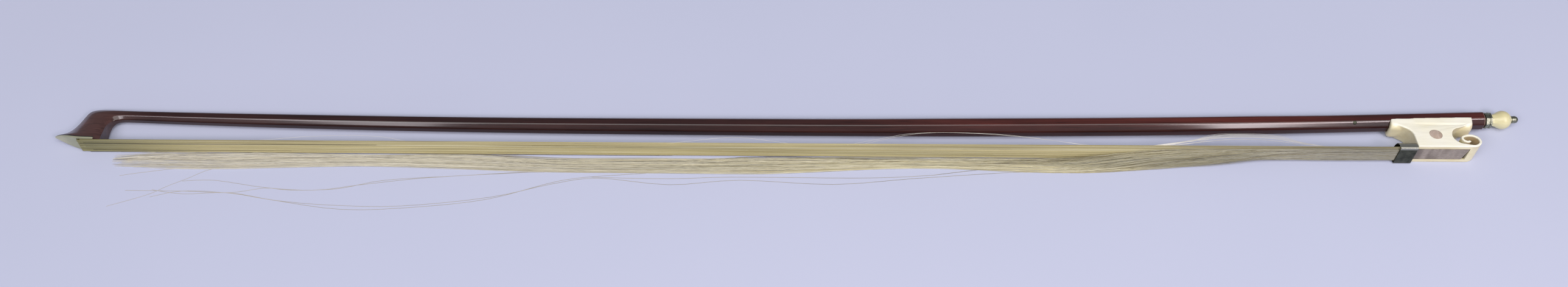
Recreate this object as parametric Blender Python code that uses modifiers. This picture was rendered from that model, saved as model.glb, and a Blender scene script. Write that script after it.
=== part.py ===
"""A violin bow with an ivory-coloured frog, lying on its side.

The bow is drawn in its own frame: x runs from the tip to the button, y from the hair up to the
back of the stick, and z across the bow from one cheek to the other. The empty "bow" then lays
that frame down on a flat surface. Sizes are in metres.
"""

from math import acos, asin, atan, atan2, cos, degrees, hypot, pi, radians, sin, tan

import bmesh
import bpy
from mathutils import Matrix, Vector

mm = 0.001

# Gaps between touching pieces
seat_gap = 0.3 * mm
inlay_gap = 0.2 * mm
running_gap = 0.2 * mm

# Lengths along the bow
head_length = 25.2 * mm
stick_run = 700.1 * mm
button_gap = 0.55 * mm
collar_length = 3.2 * mm
bulb_length = 10.4 * mm
finial_length = 4.1 * mm

# Stick: an octagon all the way, cambered towards the hair and tapered towards the head
handle_flats = 8.85 * mm
neck_flats = 5.35 * mm
taper_run = 466.0 * mm
taper_power = 2.2
neck_run = 8.8 * mm
camber_low_run = 298.0 * mm
camber_height = 15.15 * mm
camber_head_rise = 4.1 * mm
camber_handle_rise = 4.8 * mm
camber_power = 2.6
handle_run = 67.1 * mm
end_chamfer = 0.7 * mm
screw_bore = 3.4 * mm
bore_depth = 40.0 * mm
journal_bore = 2.4 * mm
journal_depth = 5.0 * mm

# Head: the face is flat at the throat, then curls up and runs on straight to the tip
face_height = 1.4 * mm
face_flat = 7.0 * mm
face_radius = 28.0 * mm
face_curl = 8.0 * mm
face_heel = 3.3 * mm
head_half_width = 5.25 * mm
plate_thickness = 0.9 * mm
liner_thickness = 0.5 * mm
head_mortise_start = 4.6 * mm
head_mortise_end = 11.9 * mm
head_mortise_width = 7.2 * mm
head_mortise_depth = 5.2 * mm
plate_window_width = 8.4 * mm
tip_knot_diameter = 1.9 * mm

# Hair: a flat ribbon of straight strands and the broken ones that lie loose
ribbon_thickness = 0.75 * mm
ribbon_head_width = 9.2 * mm
ribbon_frog_width = 10.6 * mm
ribbon_columns = 60
ribbon_rows = 4
strand_radius = 0.08 * mm
hair_face = 0.4 * mm
ribbon_end_inset = 6.2 * mm
ribbon_slice = 2.2 * mm
bend_run = 3.6 * mm
knot_diameter = 3.0 * mm
loose_columns = 24
loose_rows = 2
loose_radius = 0.07 * mm
loose_sheet = 0.34 * mm
loose_width = 9.2 * mm
loose_row_pitch = 0.16 * mm
landed_row_pitch = 0.25 * mm
loose_mouth = 0.9 * mm
loose_shortest = 400.0 * mm
loose_longest = 640.0 * mm
loose_stations = 12
loose_fall = 240.0 * mm
loose_clear = 3.0 * mm
loose_band = 8.0 * mm
loose_spread = 29.0 * mm

# Frog
frog_setback = 50.3 * mm
frog_length = 42.7 * mm
frog_bottom = 0.6 * mm
frog_front_top = 19.6 * mm
frog_rear_top = 20.7 * mm
frog_half_width = 6.6 * mm
frog_side_slope = 0.0875
rail_bottom = 13.8 * mm
rail_round = 3.0 * mm
rail_lip = 1.5 * mm
rail_heel = 2.5 * mm
front_rake = 1.3 * mm
throat_depth = 10.0 * mm
throat_radius = 5.8 * mm
throat_height = 8.2 * mm
cove_setback = 13.6 * mm
cove_height = 7.7 * mm
cove_lower_radius = 5.2 * mm
cove_upper_radius = 6.1 * mm
scroll_length = 9.7 * mm
scroll_height = 8.3 * mm
scroll_band = 1.15 * mm
curl_radius = 2.7 * mm
curl_turn = 130.0
eye_diameter = 6.2 * mm
eye_thickness = 0.9 * mm
eye_place = 20.9 * mm
eye_height = 8.7 * mm
slide_setback = 6.3 * mm
slide_width = 8.0 * mm
slide_flare = 0.6 * mm
pearl_thickness = 0.9 * mm
backing_thickness = 0.9 * mm
frog_mortise_start = 14.5 * mm
frog_mortise_length = 9.5 * mm
frog_mortise_width = 7.6 * mm
frog_mortise_depth = 5.0 * mm
hair_channel = 0.9 * mm

# Ferrule
ferrule_length = 8.7 * mm
ferrule_width = 12.8 * mm
ferrule_height = 6.0 * mm
ferrule_shoulder = 1.2 * mm
ferrule_wall = 0.3 * mm
tongue_length = 6.8 * mm
wedge_setback = 1.6 * mm
wedge_length = 5.0 * mm
wedge_width = 10.2 * mm
wedge_thickness = 1.2 * mm

# Screw, eyelet and button
screw_diameter = 2.8 * mm
screw_journal = 1.8 * mm
eyelet_place = 22.0 * mm
eyelet_ring = 4.6 * mm
eyelet_thickness = 3.6 * mm
eyelet_stem = 3.0 * mm
eyelet_depth = 6.0 * mm
frog_forward = 2.8 * mm
frog_back = 4.0 * mm
collar_flats = 7.1 * mm
collar_rim = 0.4 * mm
collar_rim_length = 0.9 * mm
collar_bore = 5.6 * mm
bulb_diameter = 9.5 * mm
bulb_waist = 6.25 * mm
bulb_front_axis = 8.0 * mm
bulb_back_axis = 4.68 * mm
finial_diameter = 3.75 * mm
finial_spigot = 1.6 * mm
finial_spigot_length = 2.5 * mm
screw_in_bulb = 6.5 * mm
pin_diameter = 2.0 * mm
pin_depth = 1.4 * mm
pin_dome = 0.25 * mm
pin_run = 17.2 * mm
pin_lift = 0.9 * mm

round_steps = 24
small_steps = 16

# Places that follow from the sizes
button_length = collar_length + bulb_length + finial_length
bow_length = head_length + stick_run + button_gap + button_length
tip_x = -bow_length / 2
throat_x = tip_x + head_length
stick_end_x = throat_x + stick_run
neck_x = throat_x + neck_run
camber_x = throat_x + camber_low_run
handle_x = stick_end_x - handle_run
handle_height = camber_height + camber_handle_rise
handle_slope = camber_power * camber_handle_rise / (handle_x - camber_x)
handle_angle = atan(handle_slope)
frog_x = stick_end_x - frog_setback
liner_total = plate_thickness + liner_thickness + 2 * inlay_gap
cove_start = frog_length - cove_setback
slide_end = frog_length - slide_setback
slide_depth = pearl_thickness + backing_thickness + 2 * inlay_gap
groove_top = frog_bottom + slide_depth
ferrule_bottom = hair_face - (2 * inlay_gap + loose_sheet + ferrule_wall)
ferrule_start = throat_depth - seat_gap - ferrule_length
wedge_bottom = hair_face + ribbon_thickness + inlay_gap
tongue_bottom = wedge_bottom + wedge_thickness + inlay_gap


def stick_height(x):
    """Height of the stick's axis over the playing face."""
    if x >= handle_x:
        return handle_height + handle_slope * (x - handle_x)
    if x >= camber_x:
        share = (x - camber_x) / (handle_x - camber_x)
        return camber_height + camber_handle_rise * share ** camber_power
    share = (camber_x - x) / (camber_x - throat_x)
    return camber_height + camber_head_rise * share ** camber_power


def stick_flats(x):
    """Width of the octagon across its flats."""
    share = (neck_x + taper_run - x) / taper_run
    share = min(max(share, 0.0), 1.0)
    return handle_flats - (handle_flats - neck_flats) * share ** taper_power


def frog_half(y):
    """Half the frog's width at a height over the playing face."""
    return frog_half_width - frog_side_slope * (y - frog_bottom)


def face_y(x):
    """Height of the head's face, which curls up towards the tip."""
    past = max(throat_x - face_flat - x, 0.0)
    curl = min(past, face_curl)
    side = (face_radius ** 2 - curl ** 2) ** 0.5
    return face_height + face_radius - side + (past - curl) * curl / side


# How the bow lies: on the frog's edge, the head's edge and the bulb of the button
bulb_x = stick_end_x + button_gap + collar_length + bulb_waist
lie_reach = stick_height(bulb_x) - frog_bottom
lean = acos(bulb_diameter / 2 / hypot(frog_half_width, lie_reach)) - atan2(lie_reach, frog_half_width)
head_edge_x = throat_x - face_flat
dip = (frog_half_width - head_half_width - frog_bottom * sin(lean)) / (frog_x - head_edge_x)
lie_height = frog_half_width * cos(lean) + frog_bottom * sin(lean) - dip * (frog_x + frog_length / 2)
lie_shift = 4.2 * mm
lie = (
    Matrix.Translation((0, lie_shift, lie_height))
    @ Matrix.Rotation(-dip, 4, "Y")
    @ Matrix.Rotation(-lean, 4, "X")
)


def clear_scene():
    for old in list(bpy.data.objects):
        bpy.data.objects.remove(old, do_unlink=True)


def new_collection(name):
    group = bpy.data.collections.new(name)
    bpy.context.scene.collection.children.link(group)
    return group


clear_scene()
pieces = new_collection("violin_bow")
cutters = new_collection("cutters")


def new_empty(name, parent=None, location=(0, 0, 0), rotation=(0, 0, 0)):
    frame = bpy.data.objects.new(name, None)
    frame.empty_display_size = 0.01
    frame.parent = parent
    frame.location = location
    frame.rotation_euler = rotation
    pieces.objects.link(frame)
    return frame


bow = new_empty("bow")
bow.matrix_world = lie
handle = new_empty("handle", bow, (handle_x, handle_height, 0), (0, 0, handle_angle))
frog = new_empty("frog", bow, (frog_x, 0, 0))


def along_handle(x):
    """A place on the handle's axis, counted from the handle's own origin."""
    return (x - handle_x) / cos(handle_angle)


def new_material(name, colour, roughness, metallic=0.0):
    material = bpy.data.materials.new(name)
    material.use_nodes = True
    shader = material.node_tree.nodes["Principled BSDF"]
    shader.inputs["Base Color"].default_value = (*colour, 1.0)
    shader.inputs["Roughness"].default_value = roughness
    shader.inputs["Metallic"].default_value = metallic
    return material


stick_wood = new_material("stick_wood", (0.17, 0.035, 0.022), 0.25)
ebony = new_material("ebony", (0.02, 0.016, 0.014), 0.35)
ivory = new_material("ivory", (0.87, 0.82, 0.64), 0.3)
bulb_ivory = new_material("bulb_ivory", (0.82, 0.77, 0.52), 0.3)
pearl = new_material("pearl", (0.52, 0.45, 0.38), 0.2)
silver = new_material("silver", (0.5, 0.51, 0.46), 0.35, 1.0)
steel = new_material("steel", (0.45, 0.45, 0.46), 0.35, 1.0)
brass = new_material("brass", (0.6, 0.45, 0.2), 0.35, 1.0)
maple = new_material("maple", (0.62, 0.47, 0.28), 0.6)
horsehair = new_material("horsehair", (0.68, 0.6, 0.42), 0.5)


def add_object(name, mesh, parent=None, material=None, location=(0, 0, 0), rotation=(0, 0, 0)):
    """Put a piece in the model, or a cutter beside it when it has no material."""
    body = bpy.data.objects.new(name, mesh)
    body.parent = parent
    body.location = location
    body.rotation_euler = rotation
    if material is None:
        body.hide_render = True
        body.display_type = "WIRE"
        cutters.objects.link(body)
    else:
        mesh.materials.append(material)
        pieces.objects.link(body)
    return body


def boolean(body, tool, operation="DIFFERENCE"):
    step = body.modifiers.new(operation.lower(), "BOOLEAN")
    step.operation = operation
    step.solver = "EXACT"
    step.object = tool


def mesh_from(name, bm):
    bmesh.ops.recalc_face_normals(bm, faces=bm.faces)
    mesh = bpy.data.meshes.new(name)
    bm.to_mesh(mesh)
    bm.free()
    return mesh


def smooth(mesh, angle=35):
    mesh.shade_smooth()
    mesh.set_sharp_from_angle(angle=radians(angle))


def box_mesh(name, low, high):
    bm = bmesh.new()
    bmesh.ops.create_cube(bm, size=1.0)
    size = Vector(high) - Vector(low)
    bmesh.ops.scale(bm, vec=size, verts=bm.verts)
    bmesh.ops.translate(bm, vec=Vector(low) + size / 2, verts=bm.verts)
    return mesh_from(name, bm)


def rod_mesh(name, radius, start, end, steps=round_steps, end_radius=None):
    """A rod or cone along x."""
    bm = bmesh.new()
    bmesh.ops.create_cone(
        bm, cap_ends=True, segments=steps, radius1=radius,
        radius2=radius if end_radius is None else end_radius, depth=end - start)
    bmesh.ops.rotate(bm, cent=(0, 0, 0), matrix=Matrix.Rotation(pi / 2, 3, "Y"), verts=bm.verts)
    bmesh.ops.rotate(bm, cent=(0, 0, 0), matrix=Matrix.Rotation(pi / steps, 3, "X"), verts=bm.verts)
    bmesh.ops.translate(bm, vec=((start + end) / 2, 0, 0), verts=bm.verts)
    mesh = mesh_from(name, bm)
    smooth(mesh)
    return mesh


def slab_mesh(name, outlines, half):
    """A flat outline in x and y, extruded both ways along z. Later outlines are holes."""
    curve = bpy.data.curves.new(name, "CURVE")
    curve.dimensions = "2D"
    curve.fill_mode = "BOTH"
    curve.extrude = half
    for outline in outlines:
        spline = curve.splines.new("POLY")
        spline.points.add(len(outline) - 1)
        spline.use_cyclic_u = True
        for point, (x, y) in zip(spline.points, outline):
            point.co = (x, y, 0, 1)
    holder = bpy.data.objects.new(name, curve)
    pieces.objects.link(holder)
    graph = bpy.context.evaluated_depsgraph_get()
    mesh = bpy.data.meshes.new_from_object(holder.evaluated_get(graph))
    bpy.data.objects.remove(holder)
    bm = bmesh.new()
    bm.from_mesh(mesh)
    bpy.data.meshes.remove(mesh)
    bmesh.ops.remove_doubles(bm, verts=bm.verts, dist=0.001 * mm)
    return mesh_from(name, bm)


def turned(name, profile, parent, material, steps=round_steps):
    """A piece turned about its own x axis: the profile is a list of (x, radius)."""
    mesh = bpy.data.meshes.new(name)
    points = [(x, radius, 0) for x, radius in profile]
    mesh.from_pydata(points, [(i, i + 1) for i in range(len(points) - 1)], [])
    body = add_object(name, mesh, parent, material)
    screw = body.modifiers.new("turn", "SCREW")
    screw.axis = "X"
    screw.steps = steps
    screw.render_steps = steps
    screw.use_merge_vertices = True
    screw.merge_threshold = 0.001 * mm
    screw.use_normal_flip = True
    return body


def arc(centre_x, centre_y, radius_x, radius_y, start, end, steps):
    """Points along part of an ellipse, with its angles in degrees."""
    points = []
    for step in range(steps + 1):
        angle = radians(start + (end - start) * step / steps)
        points.append((centre_x + radius_x * cos(angle), centre_y + radius_y * sin(angle)))
    return points


def loft_mesh(name, rings):
    """Skin a row of rings that all have the same number of points, and cap both ends."""
    bm = bmesh.new()
    rows = [[bm.verts.new(point) for point in ring] for ring in rings]
    for row, following in zip(rows, rows[1:]):
        for i in range(len(row)):
            after = (i + 1) % len(row)
            bm.faces.new((row[i], row[after], following[after], following[i]))
    bm.faces.new(rows[0])
    bm.faces.new(rows[-1])
    return mesh_from(name, bm)


def octagon(x, height, flats):
    """The stick's section: flats towards the hair, the back and both cheeks."""
    half = flats / 2
    corner = half * tan(pi / 8)
    side = [(-half, corner), (-corner, half), (corner, half), (half, corner)]
    mirrored = [(y, -z) for y, z in reversed(side)]
    return [(x, height + y, z) for y, z in side + mirrored]


def head_ring(inner, outer, widths, low_share, high_share):
    """A section through the head, from the throat side to the ridge.

    The numbers are drawn on a head 25.2 long, 19.25 high and 5.25 to a side, and follow its sizes.
    """
    along = head_length / 25.2
    up = (camber_height + camber_head_rise) / 19.25
    across = head_half_width / 5.25
    places = (0.0, low_share, high_share, 1.0)
    side = []
    for place, width in zip(places, widths):
        x = inner[0] + (outer[0] - inner[0]) * place
        y = inner[1] + (outer[1] - inner[1]) * place
        side.append((throat_x + x * along, y * up, width * across))
    mirrored = [(x, y, -z) for x, y, z in reversed(side)]
    return side + mirrored


def stick_blank():
    """The head's sections turn round the throat and run on into the stick."""
    rings = [
        head_ring((0.0, 0.0), (-25.3, 5.2), (4.2, 5.05, 4.3, 0.4), 0.25, 0.68),
        head_ring((0.0, 1.7), (-24.5, 7.6), (4.1, 5.0, 4.1, 0.35), 0.25, 0.68),
        head_ring((0.0, 3.1), (-19.4, 8.4), (4.0, 4.85, 4.0, 0.3), 0.22, 0.68),
        head_ring((0.0, 5.2), (-16.9, 10.6), (3.8, 4.5, 3.7, 0.3), 0.18, 0.70),
        head_ring((0.0, 7.6), (-15.0, 14.4), (3.5, 4.1, 3.4, 0.3), 0.17, 0.70),
        head_ring((0.0, 9.8), (-13.3, 18.2), (3.2, 3.7, 3.0, 0.35), 0.19, 0.71),
        head_ring((0.2, 11.8), (-11.6, 21.0), (2.8, 3.3, 2.75, 0.6), 0.22, 0.72),
        head_ring((0.9, 13.9), (-8.4, 22.2), (2.1, 3.0, 2.7, 0.95), 0.25, 0.72),
        head_ring((2.4, 15.5), (-2.8, 22.3), (1.45, 2.8, 2.7, 1.1), 0.28, 0.71),
        head_ring((4.9, 16.3), (3.2, 22.1), (1.12, 2.7, 2.7, 1.12), 0.29, 0.71),
    ]
    section_count = 30
    for section in range(section_count + 1):
        x = neck_x + (handle_x - neck_x) * section / section_count
        rings.append(octagon(x, stick_height(x), stick_flats(x)))
    chamfer_x = stick_end_x - end_chamfer
    rings.append(octagon(chamfer_x, stick_height(chamfer_x), handle_flats))
    rings.append(octagon(stick_end_x, stick_height(stick_end_x), handle_flats - 2 * end_chamfer))
    return loft_mesh("stick", rings)


def face_outline(low, high, start_x, end_x):
    """The band between two offsets from the head's face."""
    steps = 10
    places = [start_x + (end_x - start_x) * step / steps for step in range(steps + 1)]
    lower = [(x, face_y(x) + low) for x in places]
    upper = [(x, face_y(x) + high) for x in reversed(places)]
    return lower + upper


def make_stick():
    body = add_object("stick", stick_blank(), bow, stick_wood)

    # The face: the wood stops under the plates but reaches the hair behind them
    past_tip = tip_x - 3 * mm
    plate_end = throat_x - face_heel
    wide = 9 * mm
    below = 6 * mm
    face = slab_mesh("face_cut", [face_outline(-below, 0.0, past_tip, throat_x + 3 * mm)], wide)
    boolean(body, add_object("face_cut", face, bow))
    bed = slab_mesh("plate_bed", [face_outline(-mm, liner_total, past_tip, plate_end)], wide)
    boolean(body, add_object("plate_bed", bed, bow))

    mortise = box_mesh(
        "head_mortise",
        (throat_x - head_mortise_end, -2 * mm, -head_mortise_width / 2),
        (throat_x - head_mortise_start, face_height + head_mortise_depth, head_mortise_width / 2))
    boolean(body, add_object("head_mortise", mortise, bow))

    # The screw's bore, with a smaller one for its front journal
    end = along_handle(stick_end_x)
    bore = rod_mesh("screw_bore", screw_bore / 2, end - bore_depth, end + 3 * mm)
    boolean(body, add_object("screw_bore", bore, handle))
    journal = rod_mesh(
        "journal_bore", journal_bore / 2, end - bore_depth - journal_depth,
        end - bore_depth + mm, small_steps)
    boolean(body, add_object("journal_bore", journal, handle))

    # The slot that the eyelet travels in
    eyelet_x = along_handle(frog_x + eyelet_place)
    reach = eyelet_thickness / 2 + seat_gap
    half_slot = eyelet_ring / 2 + seat_gap
    slot = box_mesh(
        "eyelet_slot",
        (eyelet_x - frog_forward - reach, -handle_flats, -half_slot),
        (eyelet_x + frog_back + reach, half_slot, half_slot))
    boolean(body, add_object("eyelet_slot", slot, handle))

    hole = rod_mesh("pin_hole", pin_diameter / 2 + inlay_gap, -pin_depth - inlay_gap, 2 * mm, small_steps)
    hole = add_object("pin_hole", hole, handle)
    hole.matrix_basis = pin_seat()
    boolean(body, hole)


def pin_seat():
    """The middle of the pin, on the facet that looks out and towards the hair."""
    out = Vector((0, -1, 1)).normalized()
    along = Vector((0, 1, 1)).normalized()
    centre = Vector((along_handle(frog_x - pin_run), 0, 0)) + out * handle_flats / 2 + along * pin_lift
    return Matrix.Translation(centre) @ out.to_track_quat("X", "Z").to_matrix().to_4x4()


def make_handle_pin():
    profile = [
        (-pin_depth, 0), (-pin_depth, pin_diameter / 2), (0, pin_diameter / 2),
        (pin_dome * 0.7, pin_diameter * 0.33), (pin_dome, 0)]
    body = turned("handle_pin", profile, handle, silver, small_steps)
    body.matrix_basis = pin_seat()


def make_head_plates():
    """Both plates are cut to the head's own outline, so their edges run on into its cheeks."""
    blank = add_object("head_outline", stick_blank(), bow)
    window = box_mesh(
        "plate_window",
        (throat_x - head_mortise_end, -4 * mm, -plate_window_width / 2),
        (throat_x - head_mortise_start, 8 * mm, plate_window_width / 2))
    window = add_object("plate_window", window, bow)
    plate_end = throat_x - face_heel - inlay_gap
    layers = (
        ("tip_plate", 0.0, plate_thickness, ivory),
        ("tip_liner", plate_thickness + inlay_gap, plate_thickness + inlay_gap + liner_thickness, ebony),
    )
    for name, low, high, material in layers:
        outline = face_outline(low, high, tip_x - 2 * mm, plate_end)
        plate = add_object(name, slab_mesh(name, [outline], 8 * mm), bow, material)
        boolean(plate, blank, "INTERSECT")
        boolean(plate, window)


def make_head_plug():
    """The wooden plug that traps the hair's knot in the head."""
    side = head_mortise_width / 2 - seat_gap
    front = throat_x - head_mortise_end + ribbon_thickness + 2 * seat_gap
    back = throat_x - head_mortise_start - seat_gap
    top = face_height + head_mortise_depth - tip_knot_diameter - 2 * seat_gap
    mesh = box_mesh("head_plug", (front, face_height, -side), (back, top, side))
    add_object("head_plug", mesh, bow, maple)
    radius = tip_knot_diameter / 2
    knot_x = throat_x - head_mortise_end + 2 * radius + ribbon_thickness
    knot_y = face_height + head_mortise_depth - seat_gap - radius
    knot = rod_mesh("tip_hair_knot", radius, -side + seat_gap, side - seat_gap, small_steps)
    add_object("tip_hair_knot", knot, bow, horsehair, (knot_x, knot_y, 0), (0, -pi / 2, 0))


def strand_mesh(name, paths, radius):
    """Three-sided strands, one for each path, all in one mesh."""
    bm = bmesh.new()
    corners = [radians(90 + 120 * i) for i in range(3)]
    for path in paths:
        rows = []
        for point in path:
            row = [
                bm.verts.new((point[0], point[1] + radius * sin(a), point[2] + radius * cos(a)))
                for a in corners]
            rows.append(row)
        for row, following in zip(rows, rows[1:]):
            for i in range(3):
                after = (i + 1) % 3
                bm.faces.new((row[i], row[after], following[after], following[i]))
        bm.faces.new(rows[0])
        bm.faces.new(rows[-1])
    return mesh_from(name, bm)


def make_hair_ribbon():
    """Taut strands from the head to the ferrule, held together by a slice at each end."""
    bend_x = throat_x - head_mortise_end + inlay_gap
    slice_x = bend_x + bend_run
    frog_end = frog_x + ribbon_end_inset
    inner = ribbon_thickness
    deep = face_height + liner_total
    mouth = face_height - 0.1 * mm
    low = hair_face
    high = hair_face + inner
    bend = [(bend_x, deep + mm), (bend_x, deep - inlay_gap)]
    bend += arc(bend_x + inner, high, inner, inner, 180, 270, 4)
    bend += [(slice_x, low), (slice_x, high), (bend_x + inner, high), (bend_x + inner, mouth)]
    bend += [(bend_x + inner, deep - inlay_gap), (bend_x + inner, deep + mm)]
    mesh = slab_mesh("hair_ribbon", [bend], 1.0)
    narrow = head_mortise_width / 2 - inlay_gap
    wide = plate_window_width / 2 - inlay_gap
    for vertex in mesh.vertices:
        share = max(vertex.co.x - bend_x - inner, 0.0) / (bend_run - inner)
        half = wide + (ribbon_head_width / 2 - wide) * share
        if vertex.co.y > mouth + 0.1 * mm:
            half = narrow
        vertex.co.z = half if vertex.co.z > 0 else -half
    body = add_object("hair_ribbon", mesh, bow, horsehair)

    frog_slice = box_mesh(
        "frog_slice", (frog_end - ribbon_slice, hair_face, -ribbon_frog_width / 2),
        (frog_end, hair_face + ribbon_thickness, ribbon_frog_width / 2))

    paths = []
    sunk = 0.5 * mm
    for row in range(ribbon_rows):
        y = hair_face + ribbon_thickness * (row + 0.5) / ribbon_rows
        for column in range(ribbon_columns):
            share = (column + 0.5 + 0.25 * (row % 2 - 0.5)) / ribbon_columns - 0.5
            paths.append([
                (slice_x - sunk, y, share * (ribbon_head_width - 4 * strand_radius)),
                (frog_end - ribbon_slice + sunk, y, share * (ribbon_frog_width - 4 * strand_radius))])
    strands = add_object("ribbon_strands", strand_mesh("ribbon_strands", paths, strand_radius), bow)
    boolean(body, strands, "UNION")
    boolean(body, add_object("frog_slice", frog_slice, bow), "UNION")


def loose_point(run, share, layer):
    """A place on a loose strand: run counts from the ferrule's mouth, share goes across."""
    fall = min(run / loose_fall, 1.0)
    fall = fall * fall * (3 - 2 * fall)
    y = hair_face - inlay_gap - loose_sheet / 2 + layer * loose_row_pitch
    z = (share - 0.5) * (loose_width - 4 * loose_radius)
    held = lie @ Vector((frog_x + loose_mouth - run, y, z))
    fan = (run / loose_longest) ** 1.6 * share ** 3
    down = lie_shift - loose_clear - loose_band * share - loose_spread * fan
    landed = Vector((held.x, down, 1.5 * loose_radius + (layer + 0.5) * landed_row_pitch))
    return lie.inverted() @ held.lerp(landed, fall)


def make_loose_hair():
    """Broken strands, still held in the ferrule, that fall to the surface beside the ribbon."""
    root_x = frog_x + ribbon_end_inset
    top = hair_face - inlay_gap
    half = loose_width / 2
    mesh = box_mesh("loose_hair", (root_x - ribbon_slice, top - loose_sheet, -half), (root_x, top, half))
    body = add_object("loose_hair", mesh, bow, horsehair)
    step = loose_longest / loose_stations
    paths = []
    for column in range(loose_columns):
        for row in range(loose_rows):
            share = (column + 0.5) / loose_columns
            layer = row - (loose_rows - 1) / 2
            wave = 0.5 + 0.5 * sin(7.0 * column + 2.6 * row)
            length = loose_shortest + (loose_longest - loose_shortest) * wave ** 0.5
            mouth = loose_point(0, share, layer)
            path = [mouth + Vector((root_x - ribbon_slice + 0.5 * mm - mouth.x, 0, 0))]
            full = int(length / step)
            path += [loose_point(step * place, share, layer) for place in range(full + 1)]
            rest = length / step - full
            if rest > 0.05:
                path.append(path[-1].lerp(loose_point(step * (full + 1), share, layer), rest))
            paths.append(path)
    strands = add_object("loose_strands", strand_mesh("loose_strands", paths, loose_radius), bow)
    boolean(body, strands, "UNION")


def frog_outline():
    """The frog's block from the side: throat, underside, heel, open scroll and cove."""
    centre_x = frog_length - scroll_length / 2
    centre_y = frog_bottom + scroll_height / 2
    wide = scroll_length / 2
    tall = scroll_height / 2
    curl_x = centre_x - wide + curl_radius
    curl_y = frog_bottom + scroll_height - curl_radius
    curl_end = 180 + curl_turn
    band = scroll_band
    outline = [(throat_depth, frog_bottom)]
    outline += arc(centre_x, centre_y, wide, tall, -90, 90, 14)
    outline += arc(centre_x, curl_y, wide, curl_radius, 90, 180, 7)[1:]
    outline += arc(curl_x, curl_y, curl_radius, curl_radius, 180, curl_end, 7)[1:]
    outline += arc(curl_x, curl_y, curl_radius - band, curl_radius - band, curl_end, 180, 6)
    outline += arc(centre_x, curl_y, wide - band, curl_radius - band, 180, 90, 6)[1:]
    outline += arc(centre_x, centre_y, wide - band, tall - band, 90, -90, 12)[1:]
    lower = cove_lower_radius
    outline += arc(cove_start + lower, cove_height, lower, lower, 270, 180, 7)
    upper = cove_upper_radius
    outline += arc(cove_start + upper, cove_height, upper, upper, 180, 112, 6)[1:]
    side_round = rail_bottom + 0.9 * rail_round
    outline += [(frog_length - 2.2 * rail_heel, rail_bottom + 0.3 * rail_round)]
    outline += [(frog_length - rail_heel, side_round), (frog_length - rail_heel, frog_front_top)]
    outline += [(rail_lip + front_rake, frog_front_top - mm), (rail_lip + 0.3 * front_rake, side_round)]
    outline += arc(throat_depth - throat_radius, throat_height, throat_radius, throat_radius, 62, 0, 7)
    return outline


def frog_rail():
    """The half-round bar that the stick lies in, with softened ends."""
    rings = []
    stations = (
        (0.0, 1.0, 0.45), (0.35, 0.45, 0.2), (1.0, 0.0, 0.0),
        (-1.0, 0.0, 0.0), (-0.35, 0.45, 0.2), (0.0, 1.0, 0.45))
    for place, lift, draw in stations:
        rear = len(rings) >= len(stations) / 2
        base = frog_length + place * rail_lip if rear else place * rail_lip
        top = frog_front_top + (frog_rear_top - frog_front_top) * base / frog_length
        bottom = rail_bottom + lift * mm
        corner_y = bottom + rail_round
        half = frog_half(corner_y) - draw * mm
        side = [(top, frog_half(top) - 0.3 * draw * mm)]
        for z, y in arc(half - rail_round, corner_y, rail_round, rail_round, 0, -90, 6):
            side.append((y, z))
        ring = []
        for y, z in side + [(y, -z) for y, z in reversed(side)]:
            share = (y - rail_bottom) / (top - rail_bottom)
            rake = -0.7 * front_rake * (1 - share) if rear else front_rake * share
            ring.append((base + rake, y, z))
        rings.append(ring)
    return loft_mesh("frog_rail", rings)


def taper_sides(mesh):
    """Give the block the frog's sloping sides, and draw its top in under the rail's sides."""
    for vertex in mesh.vertices:
        half = frog_half(vertex.co.y)
        if vertex.co.y > rail_bottom + rail_round:
            half -= mm
        vertex.co.z = half if vertex.co.z > 0 else -half


def dovetail_mesh(name, start, end, low, high, half):
    """A strip that is wider at its inner face than at the frog's underside."""
    mesh = box_mesh(name, (start, low, -half), (end, high, half))
    for vertex in mesh.vertices:
        depth = (vertex.co.y - frog_bottom) / slide_depth
        vertex.co.z *= (half + slide_flare * depth) / half
    return mesh


def ferrule_outline(inset, lowest=None):
    """The D of the ferrule, drawn inwards by a wall or a gap."""
    bottom = ferrule_bottom + inset if lowest is None else lowest
    half = ferrule_width / 2 - inset
    shoulder = ferrule_bottom + ferrule_shoulder
    rise = ferrule_height - ferrule_shoulder - inset
    if bottom >= shoulder:
        start = degrees(asin((bottom - shoulder) / rise))
        return arc(0, shoulder, half, rise, start, 180 - start, 20)
    return [(-half, bottom), (half, bottom)] + arc(0, shoulder, half, rise, 0, 180, 20)


def across_mesh(name, outlines, start, end):
    """An outline in z and y, extruded along x."""
    mesh = slab_mesh(name, outlines, (end - start) / 2)
    mesh.transform(Matrix.Translation(((start + end) / 2, 0, 0)) @ Matrix.Rotation(pi / 2, 4, "Y"))
    return mesh


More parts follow.
